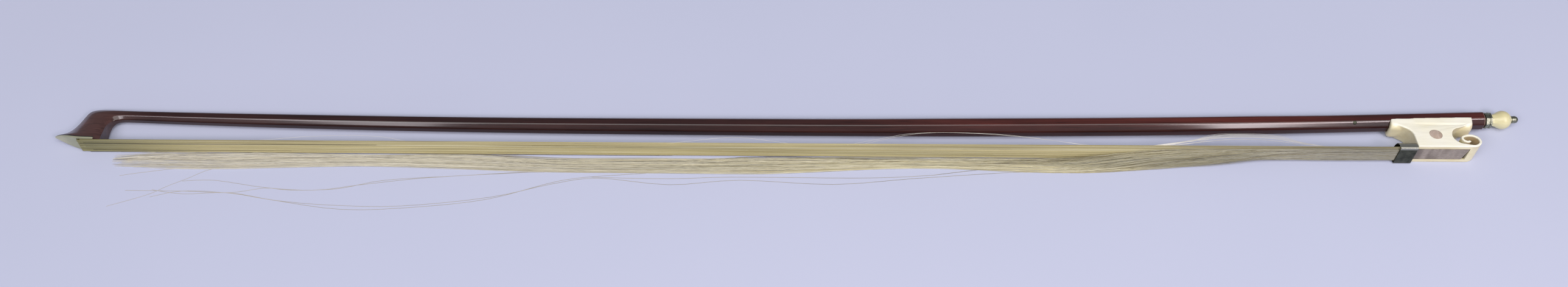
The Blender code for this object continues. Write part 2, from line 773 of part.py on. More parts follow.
def make_frog():
    mesh = slab_mesh("frog_body", [frog_outline()], 1.0)
    taper_sides(mesh)
    body = add_object("frog_body", mesh, frog, ivory)
    boolean(body, add_object("frog_rail", frog_rail(), frog), "UNION")

    tongue_inset = ferrule_wall + running_gap
    tongue = across_mesh(
        "ferrule_tongue", [ferrule_outline(tongue_inset, tongue_bottom)],
        throat_depth - tongue_length, throat_depth + mm)
    boolean(body, add_object("ferrule_tongue", tongue, frog), "UNION")

    # The channel takes the lower half of the stick
    channel = rod_mesh(
        "stick_channel", (handle_flats / 2 + inlay_gap) / cos(pi / 8),
        along_handle(frog_x - 8 * mm), along_handle(frog_x + frog_length + 8 * mm), 8)
    boolean(body, add_object("stick_channel", channel, handle))

    groove = dovetail_mesh(
        "slide_groove", throat_depth - 0.5 * mm, slide_end + inlay_gap, frog_bottom - mm, groove_top,
        slide_width / 2 + inlay_gap)
    boolean(body, add_object("slide_groove", groove, frog))
    mortise = box_mesh(
        "frog_mortise", (frog_mortise_start, groove_top - 0.5 * mm, -frog_mortise_width / 2),
        (frog_mortise_start + frog_mortise_length, groove_top + frog_mortise_depth,
         frog_mortise_width / 2))
    boolean(body, add_object("frog_mortise", mortise, frog))
    hair_way = box_mesh(
        "hair_way", (throat_depth - 0.5 * mm, groove_top - 0.5 * mm, -frog_mortise_width / 2),
        (frog_mortise_start + mm, groove_top + hair_channel + inlay_gap, frog_mortise_width / 2))
    boolean(body, add_object("hair_way", hair_way, frog))

    hole = rod_mesh(
        "eyelet_hole", eyelet_stem / 2 + inlay_gap, -handle_flats / 2 - eyelet_depth - inlay_gap,
        0, small_steps)
    place = (along_handle(frog_x + eyelet_place), 0, 0)
    boolean(body, add_object("eyelet_hole", hole, handle, None, place, (0, 0, pi / 2)))

    for side in (1, -1):
        recess = eye_mesh("eye_recess", inlay_gap)
        boolean(body, place_eye(add_object("eye_recess", recess, frog), side))


def eye_mesh(name, gap):
    bm = bmesh.new()
    outer = eye_diameter / 2 + gap
    bmesh.ops.create_cone(
        bm, cap_ends=True, segments=round_steps, radius1=outer, radius2=outer,
        depth=eye_thickness + (gap + mm if gap else 0))
    lift = -eye_thickness / 2 + ((mm - gap) / 2 if gap else 0)
    bmesh.ops.translate(bm, vec=(0, 0, lift), verts=bm.verts)
    mesh = mesh_from(name, bm)
    smooth(mesh)
    return mesh


def place_eye(body, side):
    """Set an eye square to the frog's sloping cheek, on its upper or lower side."""
    slope = atan(frog_side_slope)
    body.location = (eye_place, eye_height, side * frog_half(eye_height))
    body.rotation_euler = (-slope, 0, 0) if side > 0 else (pi + slope, 0, 0)
    return body


def make_eyes():
    for name, side in (("pearl_eye_upper", 1), ("pearl_eye_lower", -1)):
        place_eye(add_object(name, eye_mesh(name, 0), frog, pearl), side)


def make_slide():
    start = throat_depth + inlay_gap
    pearl_top = frog_bottom + pearl_thickness
    half = slide_width / 2
    layers = (
        ("slide_pearl", frog_bottom, pearl_top, pearl),
        ("slide_backing", pearl_top + inlay_gap, pearl_top + inlay_gap + backing_thickness, ebony),
    )
    for name, low, high, material in layers:
        add_object(name, dovetail_mesh(name, start, slide_end, low, high, half), frog, material)


def make_ferrule():
    mesh = across_mesh(
        "ferrule", [ferrule_outline(0), ferrule_outline(ferrule_wall)],
        ferrule_start, ferrule_start + ferrule_length)
    smooth(mesh)
    add_object("ferrule", mesh, frog, silver)
    half = wedge_width / 2
    start = ferrule_start + wedge_setback
    wedge = box_mesh(
        "ferrule_wedge", (start, wedge_bottom, -half),
        (start + wedge_length, wedge_bottom + wedge_thickness, half))
    add_object("ferrule_wedge", wedge, frog, maple)


def make_frog_knot_and_plug():
    """The hair's bound end lies in the frog's mortise, with a wooden plug behind it."""
    half = frog_mortise_width / 2 - inlay_gap
    low = groove_top + inlay_gap
    radius = knot_diameter / 2
    knot_x = frog_mortise_start + inlay_gap + radius
    tail = box_mesh(
        "frog_hair_knot", (throat_depth + inlay_gap, low, -half),
        (knot_x, low + hair_channel - inlay_gap, half))
    body = add_object("frog_hair_knot", tail, frog, horsehair)
    knot = rod_mesh("knot_roll", radius, -half, half, small_steps)
    roll = add_object("knot_roll", knot, frog, None, (knot_x, low + radius, 0), (0, -pi / 2, 0))
    boolean(body, roll, "UNION")
    plug = box_mesh(
        "frog_plug", (knot_x + radius + seat_gap, low, -half),
        (frog_mortise_start + frog_mortise_length - seat_gap,
         groove_top + frog_mortise_depth - seat_gap, half))
    add_object("frog_plug", plug, frog, maple)


def make_eyelet():
    """A threaded eye that stands up from the frog into the stick, round the screw."""
    place = along_handle(frog_x + eyelet_place)
    half = eyelet_thickness / 2
    ring = rod_mesh("eyelet", eyelet_ring / 2, -half, half)
    body = add_object("eyelet", ring, handle, brass, (place, 0, 0))
    stem = rod_mesh("eyelet_stem", eyelet_stem / 2, -handle_flats / 2 - eyelet_depth, 0, small_steps)
    boolean(body, add_object("eyelet_stem", stem, handle, None, (place, 0, 0), (0, 0, pi / 2)), "UNION")
    thread = rod_mesh("eyelet_thread", screw_diameter / 2 + running_gap, -half - mm, half + mm)
    boolean(body, add_object("eyelet_thread", thread, handle, None, (place, 0, 0)))


def make_screw():
    end = along_handle(stick_end_x)
    front = end - bore_depth - journal_depth + seat_gap
    shoulder = end - bore_depth + seat_gap
    back = end + button_gap + collar_length + screw_in_bulb
    profile = [
        (front, 0), (front, screw_journal / 2), (shoulder, screw_journal / 2),
        (shoulder, screw_diameter / 2), (back, screw_diameter / 2), (back, 0)]
    turned("screw", profile, handle, steel)


def make_collar():
    """An octagonal silver collar with a raised rim at each end."""
    start = along_handle(stick_end_x) + button_gap
    end = start + collar_length
    rim = collar_flats + 2 * collar_rim
    stations = (
        (start, rim - collar_rim), (start + 0.25 * mm, rim),
        (start + collar_rim_length, rim), (start + collar_rim_length + 0.25 * mm, collar_flats),
        (end - collar_rim_length - 0.25 * mm, collar_flats), (end - collar_rim_length, rim),
        (end - 0.25 * mm, rim), (end, rim - collar_rim))
    rings = [octagon(x, 0, flats) for x, flats in stations]
    body = add_object("button_collar", loft_mesh("button_collar", rings), handle, silver)
    bore = rod_mesh("collar_bore", collar_bore / 2, start - mm, end + mm)
    boolean(body, add_object("collar_bore", bore, handle))


def bulb_radius(place):
    """The bulb swells slowly from its neck and closes faster under the finial."""
    axis = bulb_front_axis if place < bulb_waist else bulb_back_axis
    return bulb_diameter / 2 * (1 - ((place - bulb_waist) / axis) ** 2) ** 0.5


def make_bulb():
    """Eight facets at the neck run out into a round bulb."""
    start = along_handle(stick_end_x) + button_gap + collar_length + inlay_gap
    ring_steps = 32
    section_count = 13
    rings = []
    for section in range(section_count + 1):
        share = section / section_count
        radius = bulb_radius(share * bulb_length)
        facets = max(1 - share / 0.4, 0.0)
        ring = []
        for step in range(ring_steps):
            angle = 2 * pi * step / ring_steps
            off_flat = (angle + pi / 8) % (pi / 4) - pi / 8
            out = radius * (1 - facets + facets / cos(off_flat))
            ring.append((start + share * bulb_length, out * sin(angle), out * cos(angle)))
        rings.append(ring)
    mesh = loft_mesh("button_bulb", rings)
    smooth(mesh)
    body = add_object("button_bulb", mesh, handle, bulb_ivory)
    spigot = rod_mesh(
        "bulb_spigot", collar_bore / 2 - inlay_gap, start - collar_length + mm, start + mm)
    boolean(body, add_object("bulb_spigot", spigot, handle), "UNION")
    bore = rod_mesh(
        "bulb_bore", screw_diameter / 2 + inlay_gap, start - collar_length,
        start + screw_in_bulb + inlay_gap, small_steps)
    boolean(body, add_object("bulb_bore", bore, handle))
    end = start + bulb_length
    hole = rod_mesh(
        "finial_hole", finial_spigot / 2 + inlay_gap, end - finial_spigot_length - inlay_gap,
        end + mm, small_steps)
    boolean(body, add_object("finial_hole", hole, handle))


def make_finial():
    start = along_handle(stick_end_x) + button_gap + collar_length + bulb_length + 2 * inlay_gap
    radius = finial_diameter / 2
    neck = start + 0.35 * mm
    dome_x = start + finial_length - radius
    profile = [(start - finial_spigot_length, 0), (start - finial_spigot_length, finial_spigot / 2)]
    profile += [(start, finial_spigot / 2), (start, radius * 0.86), (neck, radius * 0.86)]
    profile += [(neck + 0.2 * mm, radius)]
    profile += arc(dome_x, 0, radius, radius, 90, 0, 6)
    turned("button_finial", profile, handle, silver)


make_stick()
make_handle_pin()
make_head_plates()
make_head_plug()
make_hair_ribbon()
make_loose_hair()
make_frog()
make_eyes()
make_slide()
make_ferrule()
make_frog_knot_and_plug()
make_eyelet()
make_screw()
make_collar()
make_bulb()
make_finial()
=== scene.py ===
from math import asin, atan, cos, degrees, pi, radians, sin, tan

import bmesh
import bpy
from mathutils import Matrix, Vector


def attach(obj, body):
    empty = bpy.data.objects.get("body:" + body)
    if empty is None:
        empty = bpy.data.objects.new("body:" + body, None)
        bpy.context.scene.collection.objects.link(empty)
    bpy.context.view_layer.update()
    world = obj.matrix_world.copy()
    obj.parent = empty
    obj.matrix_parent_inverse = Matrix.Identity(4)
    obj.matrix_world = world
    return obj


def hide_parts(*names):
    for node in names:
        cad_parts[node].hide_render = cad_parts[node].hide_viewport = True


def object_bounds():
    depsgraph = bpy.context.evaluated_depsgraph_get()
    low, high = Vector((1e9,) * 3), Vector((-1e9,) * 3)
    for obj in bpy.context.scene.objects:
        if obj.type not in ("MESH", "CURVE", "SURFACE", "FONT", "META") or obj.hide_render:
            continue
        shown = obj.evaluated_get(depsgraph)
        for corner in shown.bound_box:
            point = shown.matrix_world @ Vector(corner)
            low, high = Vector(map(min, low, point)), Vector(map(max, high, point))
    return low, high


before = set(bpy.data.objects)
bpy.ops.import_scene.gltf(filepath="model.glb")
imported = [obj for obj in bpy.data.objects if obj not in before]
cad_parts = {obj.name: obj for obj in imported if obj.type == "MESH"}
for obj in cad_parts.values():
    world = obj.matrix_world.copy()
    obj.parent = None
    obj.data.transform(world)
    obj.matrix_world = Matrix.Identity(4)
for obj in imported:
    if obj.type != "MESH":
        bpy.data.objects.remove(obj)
solid_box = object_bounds()
mm = 0.001

# The bow's own frame
# The bow is drawn with x from the tip to the button, y from the playing face of the hair up to the
# back of the stick, and z across it. It lies on its side on the edges of its frog and head and on
# the bulb of its button.
throat_x = -346.575 * mm
tip_x = -371.775 * mm
stick_end_x = 353.525 * mm
handle_x = 286.425 * mm
handle_height = 19.95 * mm
handle_angle = radians(2.1334949585)
frog_x = 303.225 * mm
lie = (
    Matrix.Translation((0, 4.2 * mm, 5.9842348 * mm))
    @ Matrix.Rotation(radians(-0.1134622), 4, "Y")
    @ Matrix.Rotation(radians(-4.7175447), 4, "X")
)
handle_place = (
    lie @ Matrix.Translation((handle_x, handle_height, 0)) @ Matrix.Rotation(handle_angle, 4, "Z")
)
frog_place = lie @ Matrix.Translation((frog_x, 0, 0))


# Camera
# A camera 717 mm away looks down on the hair side of the bow at 52.5 degrees, turned a third of a
# degree, with the whole bow in view.
def set_camera():
    height = radians(52.5)
    turn = radians(0.37)
    look = Vector((0, cos(height), -sin(height)))
    level = Vector((1, 0, 0))
    above = Vector((0, sin(height), cos(height)))
    right = level * cos(turn) + above * sin(turn)
    up = above * cos(turn) - level * sin(turn)
    place = Vector((-3.725 * mm, 4.7 * mm, 0)) - look * 717 * mm
    lens = bpy.data.cameras.new("photo_camera")
    lens.sensor_width = 36.0
    lens.lens = 36.0 * 2335 / 2576
    lens.clip_start = 0.01
    holder = bpy.data.objects.new("photo_camera", lens)
    pose = Matrix((right, up, -look)).transposed().to_4x4()
    pose.translation = place
    holder.matrix_world = lie @ pose
    bpy.context.scene.collection.objects.link(holder)
    bpy.context.scene.camera = holder


set_camera()


# Stick
# One length of dark red wood, planed to eight sides, bent to a camber and carved into the head at
# its thin end. The varnish is worn and glossy, and the ridge of the head is left crisp.
def link(body):
    bpy.context.scene.collection.objects.link(body)
    return body


def settle(piece):
    """Fix a piece's modifiers into its mesh."""
    graph = bpy.context.evaluated_depsgraph_get()
    mesh = bpy.data.meshes.new_from_object(piece.evaluated_get(graph))
    piece.modifiers.clear()
    piece.data = mesh
    return piece


def object_from(name, bm, place=None):
    """Put a bmesh into the scene, with its place in its mesh."""
    if place is not None:
        bmesh.ops.transform(bm, matrix=place, verts=bm.verts)
    mesh = bpy.data.meshes.new(name)
    bm.to_mesh(mesh)
    bm.free()
    return link(bpy.data.objects.new(name, mesh))


def cut(piece, tool, operation="DIFFERENCE"):
    step = piece.modifiers.new("cut", "BOOLEAN")
    step.operation = operation
    step.solver = "EXACT"
    step.object = tool
    settle(piece)
    bpy.data.objects.remove(tool)
    return piece


def ring_edges(bm, ring):
    return [bm.edges.get((ring[i - 1], ring[i])) for i in range(len(ring))]


def lofted(rings):
    """A closed skin: a circle's rim extruded from ring to ring, with a cap at each end."""
    bm = bmesh.new()
    count = len(rings[0])
    made = bmesh.ops.create_circle(bm, cap_ends=True, segments=count, radius=mm)
    ring = made["verts"]
    for vertex, point in zip(ring, rings[0]):
        vertex.co = point
    rows = [ring]
    for points in rings[1:]:
        made = bmesh.ops.extrude_edge_only(bm, edges=ring_edges(bm, ring))["geom"]
        fresh = [part for part in made if isinstance(part, bmesh.types.BMVert)]
        partner = {}
        for vertex in fresh:
            for edge in vertex.link_edges:
                other = edge.other_vert(vertex)
                if other in ring:
                    partner[other] = vertex
        ring = [partner[vertex] for vertex in ring]
        for vertex, point in zip(ring, points):
            vertex.co = point
        rows.append(ring)
    bmesh.ops.contextual_create(bm, geom=ring_edges(bm, ring))
    bmesh.ops.recalc_face_normals(bm, faces=bm.faces)
    return bm, rows


def slab(name, outline, half, place):
    """A flat outline in x and y, extruded both ways along z."""
    bm = bmesh.new()
    face = bm.faces.new([bm.verts.new((x, y, -half)) for x, y in outline])
    made = bmesh.ops.extrude_face_region(bm, geom=[face])["geom"]
    top = [part for part in made if isinstance(part, bmesh.types.BMVert)]
    bmesh.ops.translate(bm, vec=(0, 0, 2 * half), verts=top)
    bmesh.ops.recalc_face_normals(bm, faces=bm.faces)
    return object_from(name, bm, place)


def block(name, low, high, place):
    bm = bmesh.new()
    bmesh.ops.create_cube(bm, size=1.0)
    size = Vector(high) - Vector(low)
    bmesh.ops.scale(bm, vec=size, verts=bm.verts)
    bmesh.ops.translate(bm, vec=Vector(low) + size / 2, verts=bm.verts)
    return object_from(name, bm, place)


def rod(name, radius, start, end, place, steps):
    """A rod along x with a number of flat sides."""
    bm = bmesh.new()
    bmesh.ops.create_cone(
        bm, cap_ends=True, segments=steps, radius1=radius, radius2=radius, depth=end - start)
    bmesh.ops.rotate(bm, cent=(0, 0, 0), matrix=Matrix.Rotation(pi / 2, 3, "Y"), verts=bm.verts)
    bmesh.ops.rotate(bm, cent=(0, 0, 0), matrix=Matrix.Rotation(pi / steps, 3, "X"), verts=bm.verts)
    bmesh.ops.translate(bm, vec=((start + end) / 2, 0, 0), verts=bm.verts)
    return object_from(name, bm, place)


def arc(centre_x, centre_y, radius_x, radius_y, start, end, steps):
    """Points along part of an ellipse, with its angles in degrees."""
    points = []
    for step in range(steps + 1):
        angle = radians(start + (end - start) * step / steps)
        points.append((centre_x + radius_x * cos(angle), centre_y + radius_y * sin(angle)))
    return points


def finished(piece, material, body, node, angle):
    """Give a piece its material, the body that it rides on and the node that it stands for."""
    piece.data.materials.clear()
    piece.data.materials.append(material)
    piece.data.shade_smooth()
    piece.data.set_sharp_from_angle(angle=radians(angle))
    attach(piece, body)
    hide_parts(node)
    return piece


class Finish:
    """A material's node tree, filled in from the shader back to the pattern."""

    def __init__(self, name, roughness=0.4, metallic=0.0, **sockets):
        self.material = bpy.data.materials.new(name)
        self.material.use_nodes = True
        self.tree = self.material.node_tree
        self.shader = self.tree.nodes["Principled BSDF"]
        self.shader.inputs["Roughness"].default_value = roughness
        self.shader.inputs["Metallic"].default_value = metallic
        for socket, value in sockets.items():
            self.shader.inputs[socket.replace("_", " ")].default_value = value
        self.place = self.tree.nodes.new("ShaderNodeTexCoord").outputs["Object"]

    def node(self, kind, inputs=(), **settings):
        made = self.tree.nodes.new("ShaderNode" + kind)
        for name, value in settings.items():
            setattr(made, name, value)
        for socket, value in dict(inputs).items():
            if isinstance(value, bpy.types.NodeSocket):
                self.tree.links.new(value, made.inputs[socket])
            else:
                made.inputs[socket].default_value = value
        return made

    def noise(self, scale, stretch=(1, 1, 1), detail=4.0, roughness=0.55, distortion=0.0):
        turned = self.node("Mapping", {"Vector": self.place, "Scale": stretch})
        return self.node("TexNoise", {
            "Vector": turned.outputs[0], "Scale": scale, "Detail": detail,
            "Roughness": roughness, "Distortion": distortion}).outputs[0]

    def ramp(self, value, stops):
        made = self.node("ValToRGB", {"Fac": value})
        elements = made.color_ramp.elements
        while len(elements) < len(stops):
            elements.new(0.5)
        for element, (position, colour) in zip(elements, stops):
            element.position = position
            level = (colour,) * 3 if isinstance(colour, (int, float)) else colour
            element.color = (*level, 1.0)
        return made.outputs[0]

    def mix(self, share, first, second, blend="MIX"):
        made = self.tree.nodes.new("ShaderNodeMix")
        made.data_type = "RGBA"
        made.blend_type = blend
        for socket, value in ((made.inputs[0], share), (made.inputs[6], first), (made.inputs[7], second)):
            if isinstance(value, bpy.types.NodeSocket):
                self.tree.links.new(value, socket)
            elif isinstance(value, tuple):
                socket.default_value = (*value, 1.0)
            else:
                socket.default_value = value
        return made.outputs[2]

    def between(self, value, low=0.0, high=1.0, start=0.0, end=1.0):
        """Run from start to end while the value runs from low to high."""
        return self.node("MapRange", {
            "Value": value, "From Min": low, "From Max": high, "To Min": start, "To Max": end}).outputs[0]

    def along(self, axis, low, high):
        """From 0 to 1 between two places along an axis."""
        parts = self.node("SeparateXYZ", {"Vector": self.place})
        return self.between(parts.outputs["XYZ".index(axis)], low, high)

    def colour(self, value):
        self.tree.links.new(value, self.shader.inputs["Base Color"])

    def rough(self, value, low, high):
        self.tree.links.new(self.between(value, start=low, end=high), self.shader.inputs["Roughness"])

    def bump(self, value, height, strength=1.0):
        made = self.node("Bump", {"Height": value, "Distance": height, "Strength": strength})
        self.tree.links.new(made.outputs[0], self.shader.inputs["Normal"])


handle_flats = 8.85 * mm
neck_flats = 5.35 * mm
taper_run = 466.0 * mm
taper_power = 2.2
camber_x = -48.575 * mm
camber_height = 15.15 * mm
camber_head_rise = 4.1 * mm
camber_handle_rise = 4.8 * mm
camber_power = 2.6
end_chamfer = 0.7 * mm
neck_x = throat_x + 8.8 * mm


def ease(value):
    """From 0 to 1, soft at both ends."""
    share = min(max(value, 0.0), 1.0)
    return share * share * (3 - 2 * share)


def fullness(x):
    """The stick is a little fuller behind the head and ahead of the handle."""
    behind_head = ease((-120 * mm - x) / (150 * mm))
    ahead = ease((x - 10 * mm) / (100 * mm)) * ease((280 * mm - x) / (50 * mm))
    return 0.45 * mm * max(behind_head, ahead)


def stick_height(x):
    """Height of the stick's axis over the playing face."""
    if x >= handle_x:
        return handle_height + tan(handle_angle) * (x - handle_x)
    lift = 0.6 * fullness(x) + camber_height
    if x >= camber_x:
        share = (x - camber_x) / (handle_x - camber_x)
        return lift + camber_handle_rise * share ** camber_power
    share = (camber_x - x) / (camber_x - throat_x)
    return lift + camber_head_rise * share ** camber_power


def stick_flats(x):
    """Width of the octagon across its flats."""
    share = min(max((neck_x + taper_run - x) / taper_run, 0.0), 1.0)
    return fullness(x) + handle_flats - (handle_flats - neck_flats) * share ** taper_power


def octagon(x, height, flats):
    half = flats / 2
    corner = half * tan(pi / 8)
    side = [(-half, corner), (-corner, half), (corner, half), (half, corner)]
    mirrored = [(y, -z) for y, z in reversed(side)]
    return [(x, height + y, z) for y, z in side + mirrored]


def head_ring(inner, outer, widths, low_share, high_share):
    """A section through the head, from the throat side to the ridge."""
    side = []
    for place, width in zip((0.0, low_share, high_share, 1.0), widths):
        x = inner[0] + (outer[0] - inner[0]) * place
        y = inner[1] + (outer[1] - inner[1]) * place
        side.append((throat_x + x * mm, y * mm, width * mm))
    return side + [(x, y, -z) for x, y, z in reversed(side)]


def stick_blank():
    """The head's sections turn round the throat and run on into the stick."""
    rings = [
        head_ring((0.0, -1.2), (-25.9, 3.6), (4.3, 5.35, 4.6, 0.4), 0.25, 0.68),
        head_ring((0.0, 0.0), (-25.3, 5.2), (4.3, 5.35, 4.5, 0.4), 0.25, 0.68),
        head_ring((0.0, 1.7), (-24.5, 6.9), (4.2, 5.3, 4.2, 0.35), 0.25, 0.68),
        head_ring((0.0, 3.1), (-19.6, 7.9), (4.1, 5.15, 4.1, 0.3), 0.22, 0.68),
        head_ring((0.0, 5.2), (-16.9, 10.6), (3.9, 4.8, 3.9, 0.3), 0.18, 0.70),
        head_ring((0.0, 7.6), (-15.0, 14.4), (3.6, 4.4, 3.6, 0.3), 0.17, 0.70),
        head_ring((0.0, 9.8), (-13.5, 18.4), (3.3, 4.0, 3.2, 0.35), 0.19, 0.71),
        head_ring((0.2, 11.8), (-12.1, 21.6), (2.9, 3.5, 2.95, 0.6), 0.22, 0.72),
        head_ring((0.9, 13.9), (-8.7, 22.7), (2.1, 3.1, 2.85, 0.95), 0.25, 0.72),
        head_ring((2.4, 15.5), (-2.8, 22.7), (1.45, 2.85, 2.8, 1.15), 0.28, 0.71),
        head_ring((4.9, 16.3), (3.2, 22.5), (1.15, 2.8, 2.8, 1.15), 0.29, 0.71),
    ]
    head_rings = len(rings)
    sections = 36
    for section in range(sections + 1):
        x = neck_x + (handle_x - neck_x) * section / sections
        rings.append(octagon(x, stick_height(x), stick_flats(x)))
    for x in (frog_x, stick_end_x - 3 * mm, stick_end_x - end_chamfer):
        rings.append(octagon(x, stick_height(x), handle_flats))
    rings.append(octagon(stick_end_x, stick_height(stick_end_x), handle_flats - 2 * end_chamfer))
    bm, rows = lofted(rings)
    crease = bm.edges.layers.float.new("crease_edge")
    for index, (row, following) in enumerate(zip(rows, rows[1:])):
        for i, (vertex, after) in enumerate(zip(row, following)):
            ridge = i in (3, 4)
            throat = i in (0, 7)
            edge = bm.edges.get((vertex, after))
            if index >= head_rings - 2:
                edge[crease] = 0.5
            elif ridge:
                edge[crease] = 0.9
            elif throat:
                edge[crease] = 0.6
            else:
                edge[crease] = 0.5 * max(index - 5, 0) / (head_rings - 7)
    for row in (rows[0], rows[-1], rows[-2]):
        for edge in ring_edges(bm, row):
            edge[crease] = 1.0
    body = object_from("stick_blank", bm, lie)
    smooth = body.modifiers.new("smooth", "SUBSURF")
    smooth.levels = smooth.render_levels = 3
    return settle(body)


face_height = 1.4 * mm
face_flat = 7.0 * mm
face_radius = 28.0 * mm
face_curl = 8.0 * mm
face_heel = 3.3 * mm
plate_thickness = 0.9 * mm
liner_thickness = 0.5 * mm
seam = 0.06 * mm


def face_y(x):
    """Height of the head's face, which curls up towards the tip."""
    past = max(throat_x - face_flat - x, 0.0)
    curl = min(past, face_curl)
    side = (face_radius ** 2 - curl ** 2) ** 0.5
    return face_height + face_radius - side + (past - curl) * curl / side


def face_outline(low, high, start_x, end_x):
    """The band between two offsets from the head's face."""
    steps = 16
    places = [start_x + (end_x - start_x) * step / steps for step in range(steps + 1)]
    lower = [(x, face_y(x) + low) for x in places]
    return lower + [(x, face_y(x) + high) for x in reversed(places)]


def wood_finish():
    wood = Finish(
        "stick_wood", roughness=0.36, Specular_IOR_Level=0.12, Coat_Weight=0.75, Coat_Roughness=0.095)
    broad = wood.noise(14.0, (0.35, 3, 3), 3.0)
    grain = wood.noise(420.0, (0.035, 1, 1), 6.0, 0.65, 0.4)
    pores = wood.noise(1500.0, (0.05, 1, 1), 2.0)
    plain = wood.ramp(broad, ((0.3, (0.014, 0.005, 0.005)), (0.75, (0.050, 0.015, 0.013))))
    red = wood.ramp(broad, ((0.3, (0.050, 0.008, 0.006)), (0.75, (0.19, 0.028, 0.016))))
    # Towards the handle the wood turns redder, most of all on its upper side, which is painted lighter as lit
    # from above.
    cheek = wood.between(wood.along("Z", 8.6 * mm, 10.2 * mm), start=0.22)
    held = wood.node("Math", {0: wood.along("X", 0.0, 0.28), 1: cheek}, operation="MULTIPLY").outputs[0]
    base = wood.mix(held, plain, red)
    base = wood.mix(wood.along("X", -0.325, -0.35), base, wood.ramp(broad, (
        (0.3, (0.050, 0.024, 0.022)), (0.75, (0.105, 0.046, 0.040)))))
    dark = wood.ramp(grain, ((0.35, 0.4), (0.62, 1.0)))
    tone = wood.mix(0.75, base, dark, "MULTIPLY")
    specks = wood.ramp(pores, ((0.36, 0.4), (0.44, 1.0)))
    tone = wood.mix(0.5, tone, specks, "MULTIPLY")
    # The chamfered rim at the stick's end is painted pale: partly bare worn wood, partly a painted highlight.
    rim = wood.along("X", stick_end_x - 0.8 * mm, stick_end_x - 0.3 * mm)
    wood.colour(wood.mix(rim, tone, (0.40, 0.27, 0.22)))
    wood.rough(grain, 0.28, 0.46)
    wood.bump(grain, 0.05 * mm, 0.5)
    return wood.material


stick_wood = wood_finish()
head_blank = stick_blank()
stick = link(head_blank.copy())
stick.name = "cambered_stick"
stick.data = head_blank.data.copy()
past_tip = tip_x - 4 * mm
mortise_start = throat_x - 11.9 * mm
mortise_end = throat_x - 4.6 * mm
cut(stick, slab("face_cut", face_outline(-8 * mm, 0.0, past_tip, throat_x + 3 * mm), 9 * mm, lie))
liner_top = plate_thickness + liner_thickness + 2 * seam
cut(stick, slab(
    "plate_bed", face_outline(-mm, liner_top, past_tip, throat_x - face_heel), 9 * mm, lie))
cut(stick, block(
    "head_mortise", (mortise_start, -2 * mm, -3.6 * mm), (mortise_end, face_height + 5.2 * mm, 3.6 * mm),
    lie))
finished(stick, stick_wood, "stick", "stick", 38)


# Face of the head
# A plate of ivory 0.9 mm thick over a thin ebony liner covers the face and curls up to the tip. A window lets
# the hair through. The outer face is greyed, and its upper edge is painted paler as lit from above.
def ivory_finish(name, pale, deep, roughness=0.32, lit_top=None, painted_shade=None):
    """Ivory, with a painted highlight that makes one upper cheek paler, and painted shade that browns a
    hollow round a place and the heel.
    """
    bone = Finish(name, roughness=roughness, Coat_Weight=0.25, Coat_Roughness=0.2)
    cloud = bone.noise(90.0, (0.6, 1, 1), 4.0)
    lines = bone.noise(900.0, (0.12, 1, 1), 3.0)
    base = bone.ramp(cloud, ((0.3, deep), (0.62, pale)))
    # Painted shade: brown in the hollow round a place, tan towards the heel.
    if painted_shade:
        middle, reach, hollow_shade, heel_start, heel_end, heel_shade = painted_shade
        spot = bone.node("Mapping", {"Vector": bone.place, "Scale": (1, 1, 0)}).outputs[0]
        near = bone.node("VectorMath", {0: spot, 1: middle}, operation="DISTANCE").outputs["Value"]
        base = bone.mix(bone.between(near, reach, 0.8 * reach), base, hollow_shade)
        base = bone.mix(bone.between(bone.along("X", heel_start, heel_end), end=0.6), base, heel_shade)
    # Painted highlight: surfaces near an upper cheek, and random patches elsewhere, turn paler as if lit from
    # above.
    if lit_top:
        lit_colour, lit_dark, way, low, high = lit_top
        out = bone.node("VectorMath", {0: bone.place, 1: way}, operation="DOT_PRODUCT").outputs["Value"]
        cheek = bone.between(out, low, high)
        soft = bone.between(cloud, start=-0.2, end=0.3)
        share = bone.node("Math", {0: cheek, 1: soft}, operation="ADD", use_clamp=True).outputs[0]
        base = bone.mix(share, base, bone.ramp(cloud, ((0.3, lit_dark), (0.62, lit_colour))))
    shade = bone.ramp(lines, ((0.3, 0.9), (0.6, 1.0)))
    bone.colour(bone.mix(0.6, base, shade, "MULTIPLY"))
    bone.rough(cloud, roughness - 0.06, roughness + 0.12)
    bone.bump(lines, 0.02 * mm, 0.3)
    return bone.material


# Surfaces higher than 10.3 to 10.9 mm over the table are painted paler, as an upper edge lit from above.
plate_ivory = ivory_finish(
    "plate_ivory", (0.41, 0.41, 0.29), (0.30, 0.31, 0.21), 0.4,
    ((0.90, 0.88, 0.70), (0.80, 0.78, 0.56), (0, 0, 1), 10.3 * mm, 10.9 * mm))
ebony = Finish("ebony", roughness=0.35)
ebony.colour(ebony.ramp(ebony.noise(500.0, (0.1, 1, 1)), ((0.3, 0.012), (0.7, (0.03, 0.024, 0.02)))))


def face_plate(name, low, high, material, node):
    plate = slab(name, face_outline(low, high, tip_x - 3 * mm, throat_x - face_heel - seam), 9 * mm, lie)
    blank = link(head_blank.copy())
    cut(plate, blank, "INTERSECT")
    window = block(
        "plate_window", (mortise_start, -4 * mm, -4.2 * mm), (mortise_end, 8 * mm, 4.2 * mm), lie)
    cut(plate, window)
    return finished(plate, material, "stick", node, 35)


tip_plate = face_plate("ivory_face", 0.0, plate_thickness, plate_ivory, "tip_plate")
tip_liner = face_plate(
    "ebony_liner", plate_thickness + seam, plate_thickness + seam + liner_thickness,
    ebony.material, "tip_liner")
bpy.data.objects.remove(head_blank)


# Hair
# One hank of pale horsehair, drawn flat from the head to the frog. It is yellowed with age and
# rosin, and greyer near its ends.
hair_face = 0.4 * mm
ribbon_head_width = 9.2 * mm
ribbon_frog_width = 10.6 * mm
bend_x = throat_x - 11.7 * mm
ribbon_end_x = frog_x + 6.2 * mm


